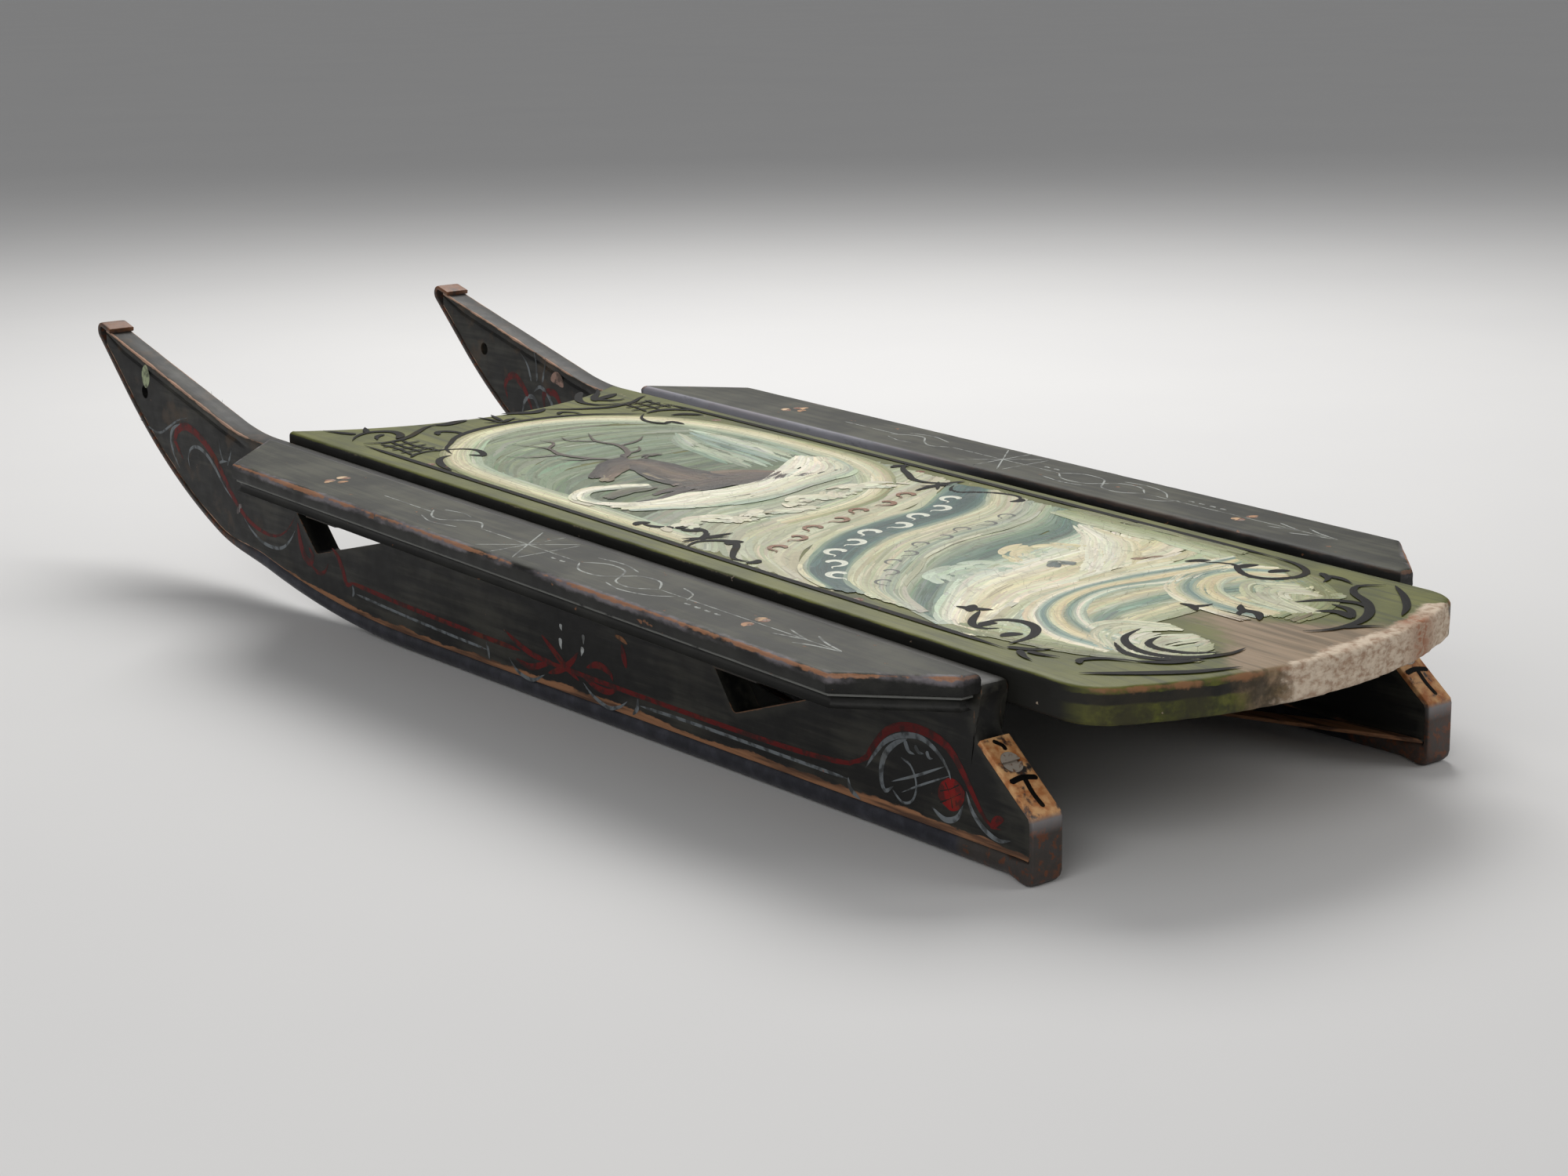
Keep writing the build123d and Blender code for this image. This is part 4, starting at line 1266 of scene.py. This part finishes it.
def seascape():
    """Dark water behind white ice, a long slope, and the breaking waves towards the tail."""
    fold = [(-118, 128), (-104, 165), (-80, 188), (-56, 206), (-20, 231), (20, 246), (60, 251),
            (92, 261), (124, 282)]
    shore = [(-122, 100), (-112, 130), (-80, 160), (-41, 186), (0, 196), (46, 206), (84, 214),
             (104, 232), (124, 250)]
    snow_low = [(-122, 88), (-80, 112), (-40, 130), (0, 134), (50, 140), (90, 140), (124, 150)]
    waves_low = [(-60, 12), (-52, 30), (-30, 48), (0, 52), (24, 52), (60, 30), (96, 20)]
    big_wave_out = [(-92, 24), (-94, 62), (-78, 95), (-58, 112), (-30, 124), (4, 130), (44, 131),
                    (86, 124), (118, 122)]
    big_wave_in = [(-60, 26), (-58, 56), (-46, 80), (-24, 98), (2, 106), (22, 104), (40, 98),
                   (70, 96), (104, 100)]
    near_wave_out = [(12, 22), (13, 58), (24, 88), (42, 104), (68, 112), (96, 108), (118, 88)]
    near_wave_in = [(46, 18), (44, 46), (50, 66), (62, 78), (78, 84), (92, 76), (100, 60)]
    white, cream, ice, teal = (222, 218, 194), (204, 194, 152), (170, 184, 160), (88, 120, 104)
    border = [(98, 100, 44), (140, 146, 98), (176, 182, 146)]
    slope_top = [(102, 240), (94, 228), (82, 208), (60, 188), (41, 170), (14, 148)]
    slope_low = [(104, 220), (100, 198), (96, 176), (78, 158), (62, 146), (36, 132)]
    return [
        band(fold, shore, [(160, 164, 132), (126, 142, 116), (80, 108, 90),
             (62, 92, 78), (124, 142, 118)], 300, 5.2, 0.24, 0.12),
        band(shore, snow_low, [ice, white, cream, white], 330, 6.4, 0.2, 0.18),
        band(snow_low, waves_low, [cream, ice, (136, 152, 124), cream, teal, cream,
             (148, 156, 116)], 520, 6.4, 0.2, 0.18),
        mound(-30, 206, 40, 178, ice, (160, 176, 156)),
        mound(36, 218, 34, 188, cream, (170, 184, 162)),
        band(slope_top, slope_low, [white, (214, 214, 192), cream], 120, 4.0, 0.3,
             0.2, 9.0, 1.0),
        band([(128, 150), (124, 96), (112, 50), (80, 10), (34, -2)],
             [(100, 128), (94, 92), (84, 56), (60, 34), (34, 26)],
             border, 150, 4.6, 0.22, 0.14),
        band([(-124, 116), (-116, 70), (-104, 34), (-88, 4), (-66, -20)],
             [(-92, 100), (-86, 70), (-76, 44), (-64, 22), (-50, 4)],
             border, 150, 4.6, 0.22, 0.14),
        band(big_wave_out, big_wave_in, [cream, white, (92, 124, 116), cream,
             (206, 188, 144), teal, white, (136, 156, 134)], 330, 3.4, 0.26, 0.2, 9.0),
        band(near_wave_out, near_wave_in, [white, cream, (88, 120, 112), cream,
             (196, 180, 136), ice], 170, 3.2, 0.3, 0.2, 9.0),
        band([(46, 16), (52, 52), (76, 74), (96, 56)], [(60, 6), (66, 30), (76, 44),
             (86, 30)], [(170, 172, 140), (196, 194, 164)], 90, 4.0, 0.4, 0.22),
        band([(-88, 28), (-70, 60), (-44, 66), (-24, 40)], [(-74, -8), (-60, -12),
             (-44, -12), (-34, -4)], [(176, 178, 146), (196, 196, 168), (150, 154, 116)], 130,
             4.0, 0.4, 0.22),
        band([(131, 264), (132, 220), (132, 170), (130, 120)],
             [(108, 264), (106, 220), (108, 170), (106, 120)],
             [(98, 100, 44), (124, 130, 78), (158, 164, 122), (176, 182, 148)], 170, 4.2, 0.26, 0.12,
             9.0),
        tapered([(14, 166), (22, 172), (30, 164)], (3, 5, 2), [(70, 84, 80), (90, 100, 92)], 14),
        tapered([(64, 150), (74, 148), (84, 146)], (1.5, 2.5, 1), [(128, 96, 62)], 8),
    ]


lay_paint("picture_sky", winter_sky(), picture_paint)
lay_paint("picture_sea", seascape(), picture_paint)
lay_paint("picture_ribbon", ribbon(), picture_paint)
lay_paint("picture_snow", snow() + deer(), picture_paint)
lay_paint("picture_flourishes", flourishes(), picture_paint)

# Black scrollwork is drawn over the picture with a liner brush: two border lines, a pair of
# lattice corners and leaf scrolls at the front, and curling fronds at the tail.
liner_black = (14, 13, 12)
liner_spread = 1.3
scrolls = [
    # border down each side
    (3.4, "even", [(-127, 706), (-127, 500), (-127, 300), (-126, 60)]),
    (3.4, "even", [(133, 700), (136, 640), (136, 480), (136, 300), (134, 100)]),
    # arch over the picture and its end curls
    (4.2, "both", [(-94, 642), (-88, 660), (-76, 673), (-62, 688), (-44, 699), (-22, 706), (4, 709),
                   (34, 708), (62, 700), (80, 688), (98, 676)]),
    (3.6, "end", [(-60, 688), (-50, 700), (-54, 711), (-61, 713), (-66, 704)]),
    (3.0, "end", [(60, 701), (59, 712), (52, 719), (46, 714)]),
    (3.6, "end", [(-98, 659), (-85, 656), (-76, 650), (-73, 640), (-79, 626), (-86, 634)]),
    (4.0, "both", [(-123, 598), (-119, 616), (-112, 631), (-104, 638), (-96, 640)]),
    (3.8, "end", [(98, 677), (86, 664), (82, 650), (88, 638), (95, 640), (97, 626)]),
    (4.2, "both", [(100, 677), (114, 680), (126, 675), (134, 664)]),
    (4.6, "both", [(110, 660), (120, 657), (130, 646)]),
    # lattice corners
    (2.0, "even", [(-122, 652), (-112, 659), (-98, 661), (-85, 656)]),
    (1.7, "even", [(-120, 692), (-104, 693), (-88, 694)]),
    (1.7, "even", [(-120, 680), (-104, 680), (-90, 682)]),
    (1.7, "even", [(-120, 668), (-106, 669), (-90, 670)]),
    (1.7, "even", [(-116, 702), (-114, 680), (-117, 658)]),
    (1.7, "even", [(-106, 704), (-107, 682), (-106, 662)]),
    (1.7, "even", [(-97, 704), (-99, 682), (-94, 660)]),
    (1.7, "even", [(104, 714), (118, 712), (134, 715)]),
    (1.7, "even", [(100, 703), (118, 702), (134, 704)]),
    (1.7, "even", [(97, 692), (116, 691), (135, 692)]),
    (1.7, "even", [(108, 716), (107, 698), (104, 682)]),
    (1.7, "even", [(118, 716), (118, 698), (117, 683)]),
    (1.7, "even", [(129, 718), (128, 700), (129, 684)]),
    # front garland: long lines, leaves and the small fleur
    (3.8, "both", [(-124, 712), (-112, 705), (-98, 706), (-84, 713), (-70, 724), (-58, 733),
                   (-46, 737)]),
    (6.5, "both", [(-50, 737), (-42, 733), (-32, 735), (-20, 737)]),
    (4.6, "end", [(-126, 724), (-116, 735), (-104, 742), (-94, 741), (-86, 733), (-88, 720),
                  (-97, 711)]),
    (4.0, "start", [(-112, 742), (-118, 754), (-124, 768)]),
    (3.6, "start", [(-102, 744), (-98, 752), (-94, 760)]),
    (3.4, "start", [(-96, 730), (-104, 726), (-110, 716)]),
    (2.6, "both", [(-9, 740), (-6, 728), (-5, 715)]),
    (2.6, "both", [(4, 742), (1, 730), (-2, 716)]),
    (2.6, "both", [(-16, 721), (-2, 716), (13, 722)]),
    (2.6, "start", [(-3, 714), (6, 720), (14, 714)]),
    (6.5, "both", [(12, 740), (24, 736), (36, 731), (50, 737)]),
    (3.8, "both", [(48, 738), (62, 726), (76, 718), (90, 713), (104, 714), (118, 718), (132, 728),
                   (142, 733)]),
    (4.6, "end", [(118, 719), (102, 720), (90, 726), (86, 738), (90, 750), (100, 764), (110, 775)]),
    (4.4, "start", [(97, 738), (106, 752), (118, 764), (128, 779)]),
    (6.0, "both", [(98, 742), (112, 746), (128, 753)]),
    (3.8, "start", [(100, 742), (112, 732), (122, 733)]),
    # knots at both sides of the ribbon
    (3.4, "start", [(-112, 397), (-110, 386), (-100, 375), (-92, 364), (-96, 353), (-109, 345),
                    (-124, 342)]),
    (5.0, "both", [(-118, 396), (-112, 400), (-106, 396)]),
    (5.0, "both", [(-103, 370), (-97, 364), (-92, 360)]),
    (3.6, "both", [(-120, 346), (-104, 345), (-82, 344)]),
    (2.4, "both", [(-116, 352), (-104, 345), (-90, 338)]),
    (2.4, "both", [(-110, 338), (-104, 345), (-94, 352)]),
    (3.6, "both", [(-126, 334), (-114, 340), (-104, 337), (-96, 328), (-100, 318), (-112, 306),
                   (-121, 294), (-118, 281)]),
    (5.6, "both", [(-103, 322), (-97, 327), (-91, 322)]),
    (4.6, "both", [(-122, 282), (-116, 280), (-111, 283)]),
    (3.8, "both", [(134, 426), (122, 416), (114, 402), (106, 388), (107, 375), (117, 365)]),
    (4.6, "both", [(118, 424), (126, 425), (132, 420)]),
    (4.0, "both", [(84, 362), (104, 365), (130, 363)]),
    (2.4, "both", [(96, 370), (106, 364), (116, 358)]),
    (2.4, "both", [(98, 356), (106, 364), (114, 372)]),
    (3.8, "both", [(116, 359), (105, 351), (103, 341), (112, 334), (122, 322), (125, 308),
                   (118, 300)]),
    (5.0, "both", [(110, 301), (117, 299), (123, 303)]),
    # fronds and curls at the tail, left side
    (4.4, "both", [(-90, 137), (-86, 127), (-79, 119)]),
    (5.4, "both", [(-92, 124), (-86, 129), (-80, 133)]),
    (3.6, "both", [(-86, 122), (-102, 111), (-109, 103), (-109, 95), (-102, 90)]),
    (5.6, "both", [(-108, 99), (-101, 101), (-96, 98)]),
    (4.4, "both", [(-104, 104), (-89, 101), (-83, 90), (-87, 78), (-98, 69), (-110, 66),
                   (-119, 66)]),
    (5.6, "both", [(-113, 78), (-106, 78), (-100, 74)]),
    (3.6, "start", [(-124, 62), (-117, 51), (-107, 44)]),
    (3.2, "start", [(-123, 54), (-129, 44), (-131, 36)]),
    (3.2, "start", [(-121, 50), (-119, 40), (-115, 32)]),
    (3.2, "start", [(-116, 17), (-110, 22), (-100, 17), (-92, 6), (-90, 0)]),
    (4.4, "both", [(-128, 6), (-116, -4), (-98, -17), (-78, -29), (-54, -37)]),
    (4.0, "both", [(-73, 34), (-82, 20), (-82, 6), (-73, -6), (-56, -14)]),
    (4.4, "both", [(-42, 44), (-62, 37), (-73, 22), (-74, 6), (-64, -9), (-42, -17), (-26, -15)]),
    (4.0, "both", [(-45, 27), (-59, 23), (-64, 12), (-58, -3), (-43, -13)]),
    (4.0, "both", [(-90, 3), (-78, -9), (-59, -17)]),
    # and its right side
    (4.4, "both", [(84, 128), (92, 124), (98, 120)]),
    (3.8, "both", [(88, 124), (98, 112), (101, 104), (94, 96), (88, 84), (92, 71), (108, 64),
                   (122, 69), (131, 84), (134, 104)]),
    (5.6, "both", [(96, 98), (104, 99), (112, 96)]),
    (5.6, "both", [(102, 80), (109, 80), (116, 76)]),
    (3.4, "start", [(126, 62), (120, 52), (110, 47)]),
    (3.4, "start", [(124, 56), (125, 46), (121, 35)]),
    (4.4, "both", [(134, 22), (120, 30), (106, 22), (95, 4), (78, -11), (58, -19), (36, -19),
                   (22, -12)]),
    (4.0, "both", [(64, 29), (80, 22), (90, 8), (86, -6)]),
    (3.6, "both", [(77, 14), (76, 1), (64, -12)]),
    (5.0, "both", [(58, 10), (67, 1), (62, -12)]),
    (3.6, "start", [(44, -20), (56, -26), (64, -32)]),
    (3.6, "both", [(137, 18), (122, 0), (105, -15), (88, -25)]),
    (4.4, "both", [(37, 44), (29, 36), (30, 26), (20, 16)]),
    (3.4, "start", [(29, 34), (22, 32), (18, 28)]),
    (4.0, "both", [(12, 66), (13, 58), (8, 50)]),
    (3.4, "start", [(12, 57), (20, 54), (26, 54)]),
]
scroll_lines = [(width * liner_spread, swell, liner_black, to_deck(points))
                for width, swell, points in scrolls]
scroll_level = 0.62  # clear of the sky's paint
lay_paint("deck_scrolls",
          fine_lines(scroll_lines, on_deck, rise=0.10, level=scroll_level, step=0.0012),
          line_paint)

# ---------------------------------------------------------------- side rails
# A 60 mm board outside each runner, its ends cut off at 45 degrees and its edge moulded with a
# lip, a fillet and a cove.  Black, rubbed grey on top, and lined in white by a thin brush.
runner_outside = runner_x + runner_half
rail_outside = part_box("right_side_rail")[1].x / mm
rail_front_outer = 716.0
rail_rear_outer = 87.0
rail_profile = [
    (6.5, 0), (5, 0.04), (3.4, 0.12), (1.9, 0.5), (0.8, 1.35), (0.2, 2.5), (0, 3.8), (0, 6.5),
    (0, 9.4), (0.4, 10.5), (1.4, 11.0), (3.6, 11.05), (3.9, 11.4), (3.0, 11.7), (2.7, 12.3),
    (3.0, 12.9), (4.0, 13.2), (5.0, 14.2), (5.5, 15.6), (5.2, 17.2), (4.2, 18.6), (3.2, 19.3),
    (3.4, 19.5), (6.5, 19.5),
]


def rail_corners(inset):
    """The right rail's plan moved in by `inset`: square inside, clipped at 45 degrees outside."""
    diagonal = inset * sqrt(2)
    rear_clip = rail_outside - rail_rear_outer - diagonal
    front_clip = rail_outside + rail_front_outer - diagonal
    inner = runner_outside + inset
    outer = rail_outside - inset
    rear_end = post_rear + inset
    return np.array([
        (inner, front_clip - inner), (outer, front_clip - outer), (outer, outer - rear_clip),
        (rear_clip + rear_end, rear_end), (inner, rear_end),
    ])


rail_counts = (24, 190, 22, 6, 210)


def rail_ring(inset):
    """The moved-in plan with the same number of points on each side whatever the inset."""
    corners = rail_corners(inset)
    sides = [corners[n] + (corners[(n + 1) % 5] - corners[n]) * (np.arange(count) / count)[:, None]
             for n, count in enumerate(rail_counts)]
    return np.vstack(sides)


def rail_finish():
    """Black paint on the rails: olive grey on top, the outer arris worn to orange under a painted
    grey sheen; painted highlights on a small bead under the lip and on the inner side's front half.
    """
    f = Finish("rail_paint", Specular_IOR_Level=0.25)
    grain = f.noise(5.0, 6.0, (1, 0.05, 1))
    fine = f.noise(1.4, 4.0, (1, 0.1, 1))
    cloud = f.noise(45.0, 6.0)
    drop = f.mark("drop")
    top = 1 - f.step(drop, 0.3, 1.6)
    dusty = f.step(cloud * 0.6 + grain * 0.45, 0.42, 0.66)
    paint = f.mix(shade(20, 20, 19), shade(36, 36, 33), dusty)
    rubbed = f.mix(shade(40, 41, 34), shade(72, 72, 61), dusty)
    rubbed = f.tint(rubbed, grain * 0.9 + 0.55)
    colour = f.mix(paint, rubbed, top * 0.9)
    # Painted highlight: a broken pale grey line along the small bead under the lip.
    fillet_highlight = f.step(drop, 11.2, 11.6) * (1 - f.step(drop, 12.7, 13.1))
    colour = f.mix(colour, shade(112, 113, 110), fillet_highlight * f.step(f.noise(18.0, 5.0), 0.30, 0.44))
    ragged = f.noise(24.0, 6.0, (1, 0.3, 1)) + f.noise(3.0, 4.0, (1, 0.5, 1)) * 0.4
    arris = abs(drop - 1.0) * 0.42 + f.mark("edge") * 0.34
    outside = f.mark("outside")
    # Painted sheen: a lavender grey highlight, broken up, along the outer top arris.
    sheen = f.step(ragged * 3.6 - arris, 0.6, 1.9) * outside
    broken = f.step(f.noise(16.0, 7.0, (1, 0.4, 1)), 0.36, 0.58)
    colour = f.mix(colour, shade(138, 132, 138), sheen * broken * 0.6)
    # Painted highlight: a pale lavender glint along the inner side's front half, just under its top
    # arris.
    inner_highlight = f.mark("inner_highlight") * f.step(ragged, 0.3, 0.6)
    colour = f.mix(colour, shade(176, 176, 186), inner_highlight * f.step(drop, 0.2, 0.8) * 0.8)
    worn = f.step(ragged * 3.6 - arris * 1.4, 1.5, 1.9) * outside
    colour = f.mix(colour, f.mix(shade(128, 80, 52), shade(178, 134, 102), fine), worn * 0.85)
    chips = f.step(f.noise(6.0, 6.0, (1, 0.6, 1)), 0.69, 0.71)
    colour = f.mix(colour, shade(128, 86, 58), chips * 0.75)
    height = grain * 0.5 + fine * 0.3 - chips * 0.4
    rough = 0.40 + top * 0.14 + grain * 0.16 - sheen * 0.06
    return f.done(Base_Color=colour, Roughness=rough, Normal=f.bump(height, 0.4, 0.8))


rail_paint = rail_finish()
rail_rings, rail_inset, rail_drop = edge_board(rail_ring, rail_profile, 17, 0.55, on_seat)
rail_around = sum(rail_counts)
rail_outer = np.repeat([1, 1, 1, 0.4, 0.1], rail_counts)
# Where the inner side's painted highlight goes: its front half.
rail_inner_highlight = np.repeat([0, 0, 0, 0, 1.0], rail_counts) * ease(rail_ring(0)[:, 1], 360, 560)
rail_marks = {
    "edge": np.repeat(rail_inset, rail_around)[:, None],
    "drop": np.repeat(rail_drop, rail_around)[:, None],
    "outside": np.tile(rail_outer, len(rail_profile))[:, None],
    "inner_highlight": np.tile(rail_inner_highlight, len(rail_profile))[:, None],
}
for name, side in both_sides:
    lay_out(f"{name}_rail_board", rail_rings * (side, 1, 1),
            tube_faces(len(rail_profile), rail_around), rail_paint, rail_marks,
            [f"{name}_side_rail"])

rail_middle = (runner_outside + rail_outside) / 2
pinstripe_white = (156, 160, 156)
pinstripe_spread = 0.85
pinstripes = [
    (1.1, [(0, 566), (0, 540), (0, 506)]),
    (1.5, [(-4, 512), (5, 500), (7, 488), (-3, 476), (-8, 464), (-1, 452)]),
    (1.2, [(9, 506), (14, 486), (9, 464)]),
    (1.2, [(-9, 508), (-13, 492), (-11, 480)]),
    (1.0, [(0, 452), (0, 432), (0, 344)]),
    (1.2, [(-24, 420), (0, 400), (24, 380)]),
    (1.2, [(-24, 380), (0, 400), (24, 420)]),
    (1.2, [(-27, 400), (0, 400), (27, 400)]),
    (1.0, [(-22, 378), (0, 378), (22, 378)]),
    (1.5, [(0, 346), (10, 332), (9, 314), (0, 305), (-9, 297), (-10, 281), (0, 268)]),
    (1.5, [(0, 346), (-10, 332), (-9, 314), (0, 305), (9, 297), (10, 281), (0, 268)]),
    (1.3, [(-14, 348), (-17, 326), (-13, 306)]),
    (1.3, [(14, 300), (17, 282), (12, 262), (2, 250)]),
    (1.3, [(-12, 262), (-8, 248), (2, 240)]),
    (1.0, [(0, 268), (0, 220), (0, 116)]),
    (1.6, [(-9, 140), (-4, 128), (0, 110)]),
    (1.6, [(9, 140), (4, 128), (0, 110)]),
    (1.3, [(-6, 160), (-3, 150), (0, 138)]),
    (1.3, [(6, 160), (3, 150), (0, 138)]),
    *[(1.9, [(6, y), (6.6, y - 2.5), (6, y - 5)]) for y in (366, 357, 236, 227, 218, 209)],
]
rail_chips = ((183, 184), (195, 181), (184, 628), (197, 622), (190, 616))
chip_tones = ((196, 160, 124), (176, 134, 100), (204, 176, 144))
for name, side in both_sides:
    lined = [(width * pinstripe_spread, "even", pinstripe_white,
              np.array(points) * (side, 1) + (side * rail_middle, 0))
             for width, points in pinstripes]
    lines = fine_lines(lined, on_seat, rise=0.06, level=0.03, step=0.0008)
    for n, (x, y) in enumerate(rail_chips):
        chip = [(side * x - 4, y - 2), (side * x, y + 1.5), (side * x + 4, y)]
        lines.append(line(chip, 5.0 - n % 2, chip_tones[n % 3], on_seat, rise=0.05, level=0.08,
                          steps=9))
    lay_paint(f"{name}_rail_pinstripes", lines, stripe_paint)

# ---------------------------------------------------------------- runner striping
# The runners' outer faces are striped freehand in red and grey: a swag under the horn, a long
# double line with a rosette at its middle, and a roundel and ball before the heel.
stripe_red = (94, 24, 24)
stripe_grey = (108, 114, 118)
stripe_white = (176, 180, 180)
ball_red = (124, 24, 24)
ball_black = (34, 30, 28)


def on_runner(side, inner=False):
    """Places on a runner's outer or inner face from its side view."""
    face, out = (runner_outside - 2 * runner_half, -1) if inner else (runner_outside, 1)

    def place(y, z, lift):
        x = side * (face + out * lift)
        return np.stack(np.broadcast_arrays(x, rear + y, z), -1)

    return place


stripes = [
    # swag and arch on the horn
    (6.0, "start", stripe_red, [(913, 86), (919, 92), (926, 99), (921, 107), (908, 112), (892, 110),
                                (875, 103), (860, 93), (850, 83), (840, 73), (828, 63), (812, 55),
                                (794, 51), (774, 51), (757, 58), (744, 70)]),
    (3.4, "both", stripe_grey, [(920, 78), (928, 88), (932, 98), (928, 107), (914, 113)]),
    (3.0, "both", stripe_grey, [(903, 81), (905, 88), (900, 96), (888, 99), (874, 95), (862, 87),
                                (850, 76), (838, 68)]),
    (2.6, "both", stripe_grey, [(822, 57), (812, 50), (798, 44), (782, 42), (766, 44), (754, 51),
                                (745, 60)]),
    (2.0, "start", stripe_grey, [(848, 93), (852, 101), (854, 110)]),
    (2.0, "start", stripe_grey, [(842, 92), (838, 98), (834, 105)]),
    (2.0, "start", stripe_grey, [(856, 92), (848, 94), (840, 95)]),
    (1.8, "both", stripe_grey, [(984, 108), (962, 102), (948, 102), (934, 108), (918, 115),
                                (902, 119)]),
    (4.5, "both", (120, 112, 112), [(832, 58), (828, 63), (824, 66)]),
    # hook and start of the long line
    (6.0, "both", stripe_red, [(741, 66), (739, 54), (734, 44), (726, 40), (722, 46), (727, 51)]),
    (3.0, "both", stripe_red, [(728, 40), (716, 35), (706, 37), (700, 44)]),
    (5.0, "both", stripe_red, [(694, 56), (686, 51), (680, 42), (676, 34), (668, 35)]),
    (3.2, "even", stripe_red, [(672, 36), (600, 33), (520, 31), (460, 30)]),
    (1.9, "even", stripe_grey, [(664, 29), (600, 26), (540, 24), (499, 23)]),
    (2.6, "both", stripe_grey, [(668, 34), (667, 30), (669, 26)]),
    (2.6, "both", stripe_grey, [(500, 28), (498, 23), (497, 17)]),
    # rosette
    (4.0, "both", stripe_red, [(478, 40), (462, 34), (444, 30), (424, 30)]),
    (4.6, "both", stripe_red, [(436, 45), (424, 38), (410, 30), (396, 24)]),
    (4.6, "both", stripe_red, [(396, 42), (404, 34), (416, 27), (430, 22)]),
    (4.2, "both", stripe_red, [(466, 24), (450, 22), (436, 26), (424, 30)]),
    (4.6, "both", stripe_red, [(388, 34), (376, 38), (364, 36), (360, 31)]),
    (4.2, "both", stripe_red, [(392, 28), (378, 24), (364, 24), (354, 29)]),
    (5.0, "both", stripe_red, [(350, 56), (348, 48), (346, 42)]),
    (3.0, "both", (140, 96, 66), [(357, 60), (350, 59), (344, 57)]),
    (2.6, "both", stripe_grey, [(474, 23), (464, 16), (448, 14), (434, 20)]),
    (2.6, "both", stripe_grey, [(392, 24), (382, 18), (366, 14), (354, 17), (346, 22)]),
    (3.4, "start", stripe_white, [(415, 47), (415, 43), (414, 40)]),
    (2.8, "start", stripe_white, [(414, 56), (414, 54), (413, 52)]),
    (3.4, "start", stripe_white, [(391, 46), (392, 43), (393, 40)]),
    (2.8, "start", stripe_white, [(390, 54), (390, 51), (390, 48)]),
    # rear long line
    (3.0, "even", stripe_red, [(440, 29), (340, 28), (240, 28), (180, 29), (142, 32), (130, 37)]),
    (5.0, "both", stripe_red, [(150, 30), (130, 37), (122, 46), (112, 56), (98, 62), (80, 63),
                               (64, 59), (54, 50), (46, 40), (39, 31), (32, 25), (24, 25)]),
    (5.0, "both", stripe_red, [(32, 24), (27, 29), (22, 31)]),
    (2.0, "even", stripe_grey, [(334, 22), (280, 23), (200, 23), (143, 23)]),
    (3.0, "both", stripe_grey, [(335, 26), (336, 20), (341, 15)]),
    (3.0, "both", stripe_grey, [(143, 24), (141, 18), (133, 14)]),
    # roundel and ball
    (3.2, "both", stripe_grey, [(129, 32), (121, 42), (112, 51), (99, 57), (84, 59), (71, 54),
                                (63, 46), (61, 39)]),
    (3.8, "both", stripe_grey, [(106, 28), (113, 24), (116, 32), (113, 43), (105, 51), (95, 56)]),
    (1.4, "even", stripe_grey, [(107, 26), (99, 21), (91, 24), (88, 33), (92, 42), (100, 45)]),
    (1.6, "both", stripe_grey, [(108, 30), (88, 38), (66, 48)]),
    (1.2, "both", stripe_grey, [(100, 26), (84, 34), (62, 44)]),
    (3.0, "start", stripe_grey, [(97, 55), (94, 50), (89, 49)]),
    (2.6, "start", stripe_grey, [(89, 54), (86, 51), (82, 51)]),
    (2.4, "start", stripe_grey, [(80, 53), (78, 50), (75, 50)]),
    (17.0, "both", ball_red, [(71, 31), (66, 33), (62, 34), (57, 36), (51, 38)]),
    (1.3, "even", ball_black, [(70, 28), (62, 32), (53, 37)]),
    (1.3, "even", ball_black, [(70, 34), (62, 37), (55, 41)]),
    (1.3, "even", ball_black, [(66, 40), (62, 34), (60, 27)]),
    (3.2, "both", stripe_grey, [(76, 24), (66, 20), (57, 23), (52, 31)]),
    (3.0, "both", stripe_grey, [(50, 39), (45, 29), (36, 22), (26, 19), (17, 21)]),
]
horn_scroll = [
    (6.0, "both", stripe_red, [(902, 87), (912, 103), (928, 113), (941, 105), (938, 92)]),
    (3.6, "both", stripe_grey, [(889, 82), (899, 98), (912, 95), (918, 82)]),
    (3.6, "both", stripe_grey, [(868, 82), (876, 100), (889, 108), (899, 103)]),
    (6.0, "both", stripe_red, [(858, 92), (868, 105), (884, 103), (884, 90)]),
    (2.4, "start", stripe_grey, [(902, 111), (907, 124), (918, 134)]),
    (2.4, "start", stripe_grey, [(894, 112), (894, 126), (897, 137)]),
    (2.4, "start", stripe_grey, [(886, 112), (882, 124), (880, 133)]),
    (10.0, "both", (150, 122, 110), [(856, 112), (864, 118), (874, 116)]),
]
rope_stain = (13.0, "both", (150, 160, 128), [(969, 133), (968, 141), (966, 151)])
for name, side in both_sides:
    laid = {"rise": 0.07, "level": 0.05, "step": 0.0012}
    lines = fine_lines([rope_stain] + stripes, on_runner(side), **laid)
    lines += fine_lines(horn_scroll, on_runner(side, inner=True), **laid)
    lay_paint(f"{name}_runner_stripes", lines, stripe_paint)

# The ochre slants of the irons are marked with a rough black cross below the screw.
heel_marks = [
    (3.2, "even", liner_black, [(-9, 23), (0, 24), (9, 22)]),
    (3.0, "even", liner_black, [(1, 24), (0, 14), (1, 5)]),
    (2.6, "even", liner_black, [(-3, 48), (1, 44), (1, 41)]),
]


def on_heel(side):
    """Places on a strap's slant: x across it, s up it."""
    return lambda x, s, lift: heel_place(x, s, lift) + (side * runner_x, rear, 0)


for name, side in both_sides:
    lines = fine_lines(heel_marks, on_heel(side), rise=0.08, level=0.10, step=0.004)
    lay_paint(f"{name}_heel_marks", lines, line_paint)
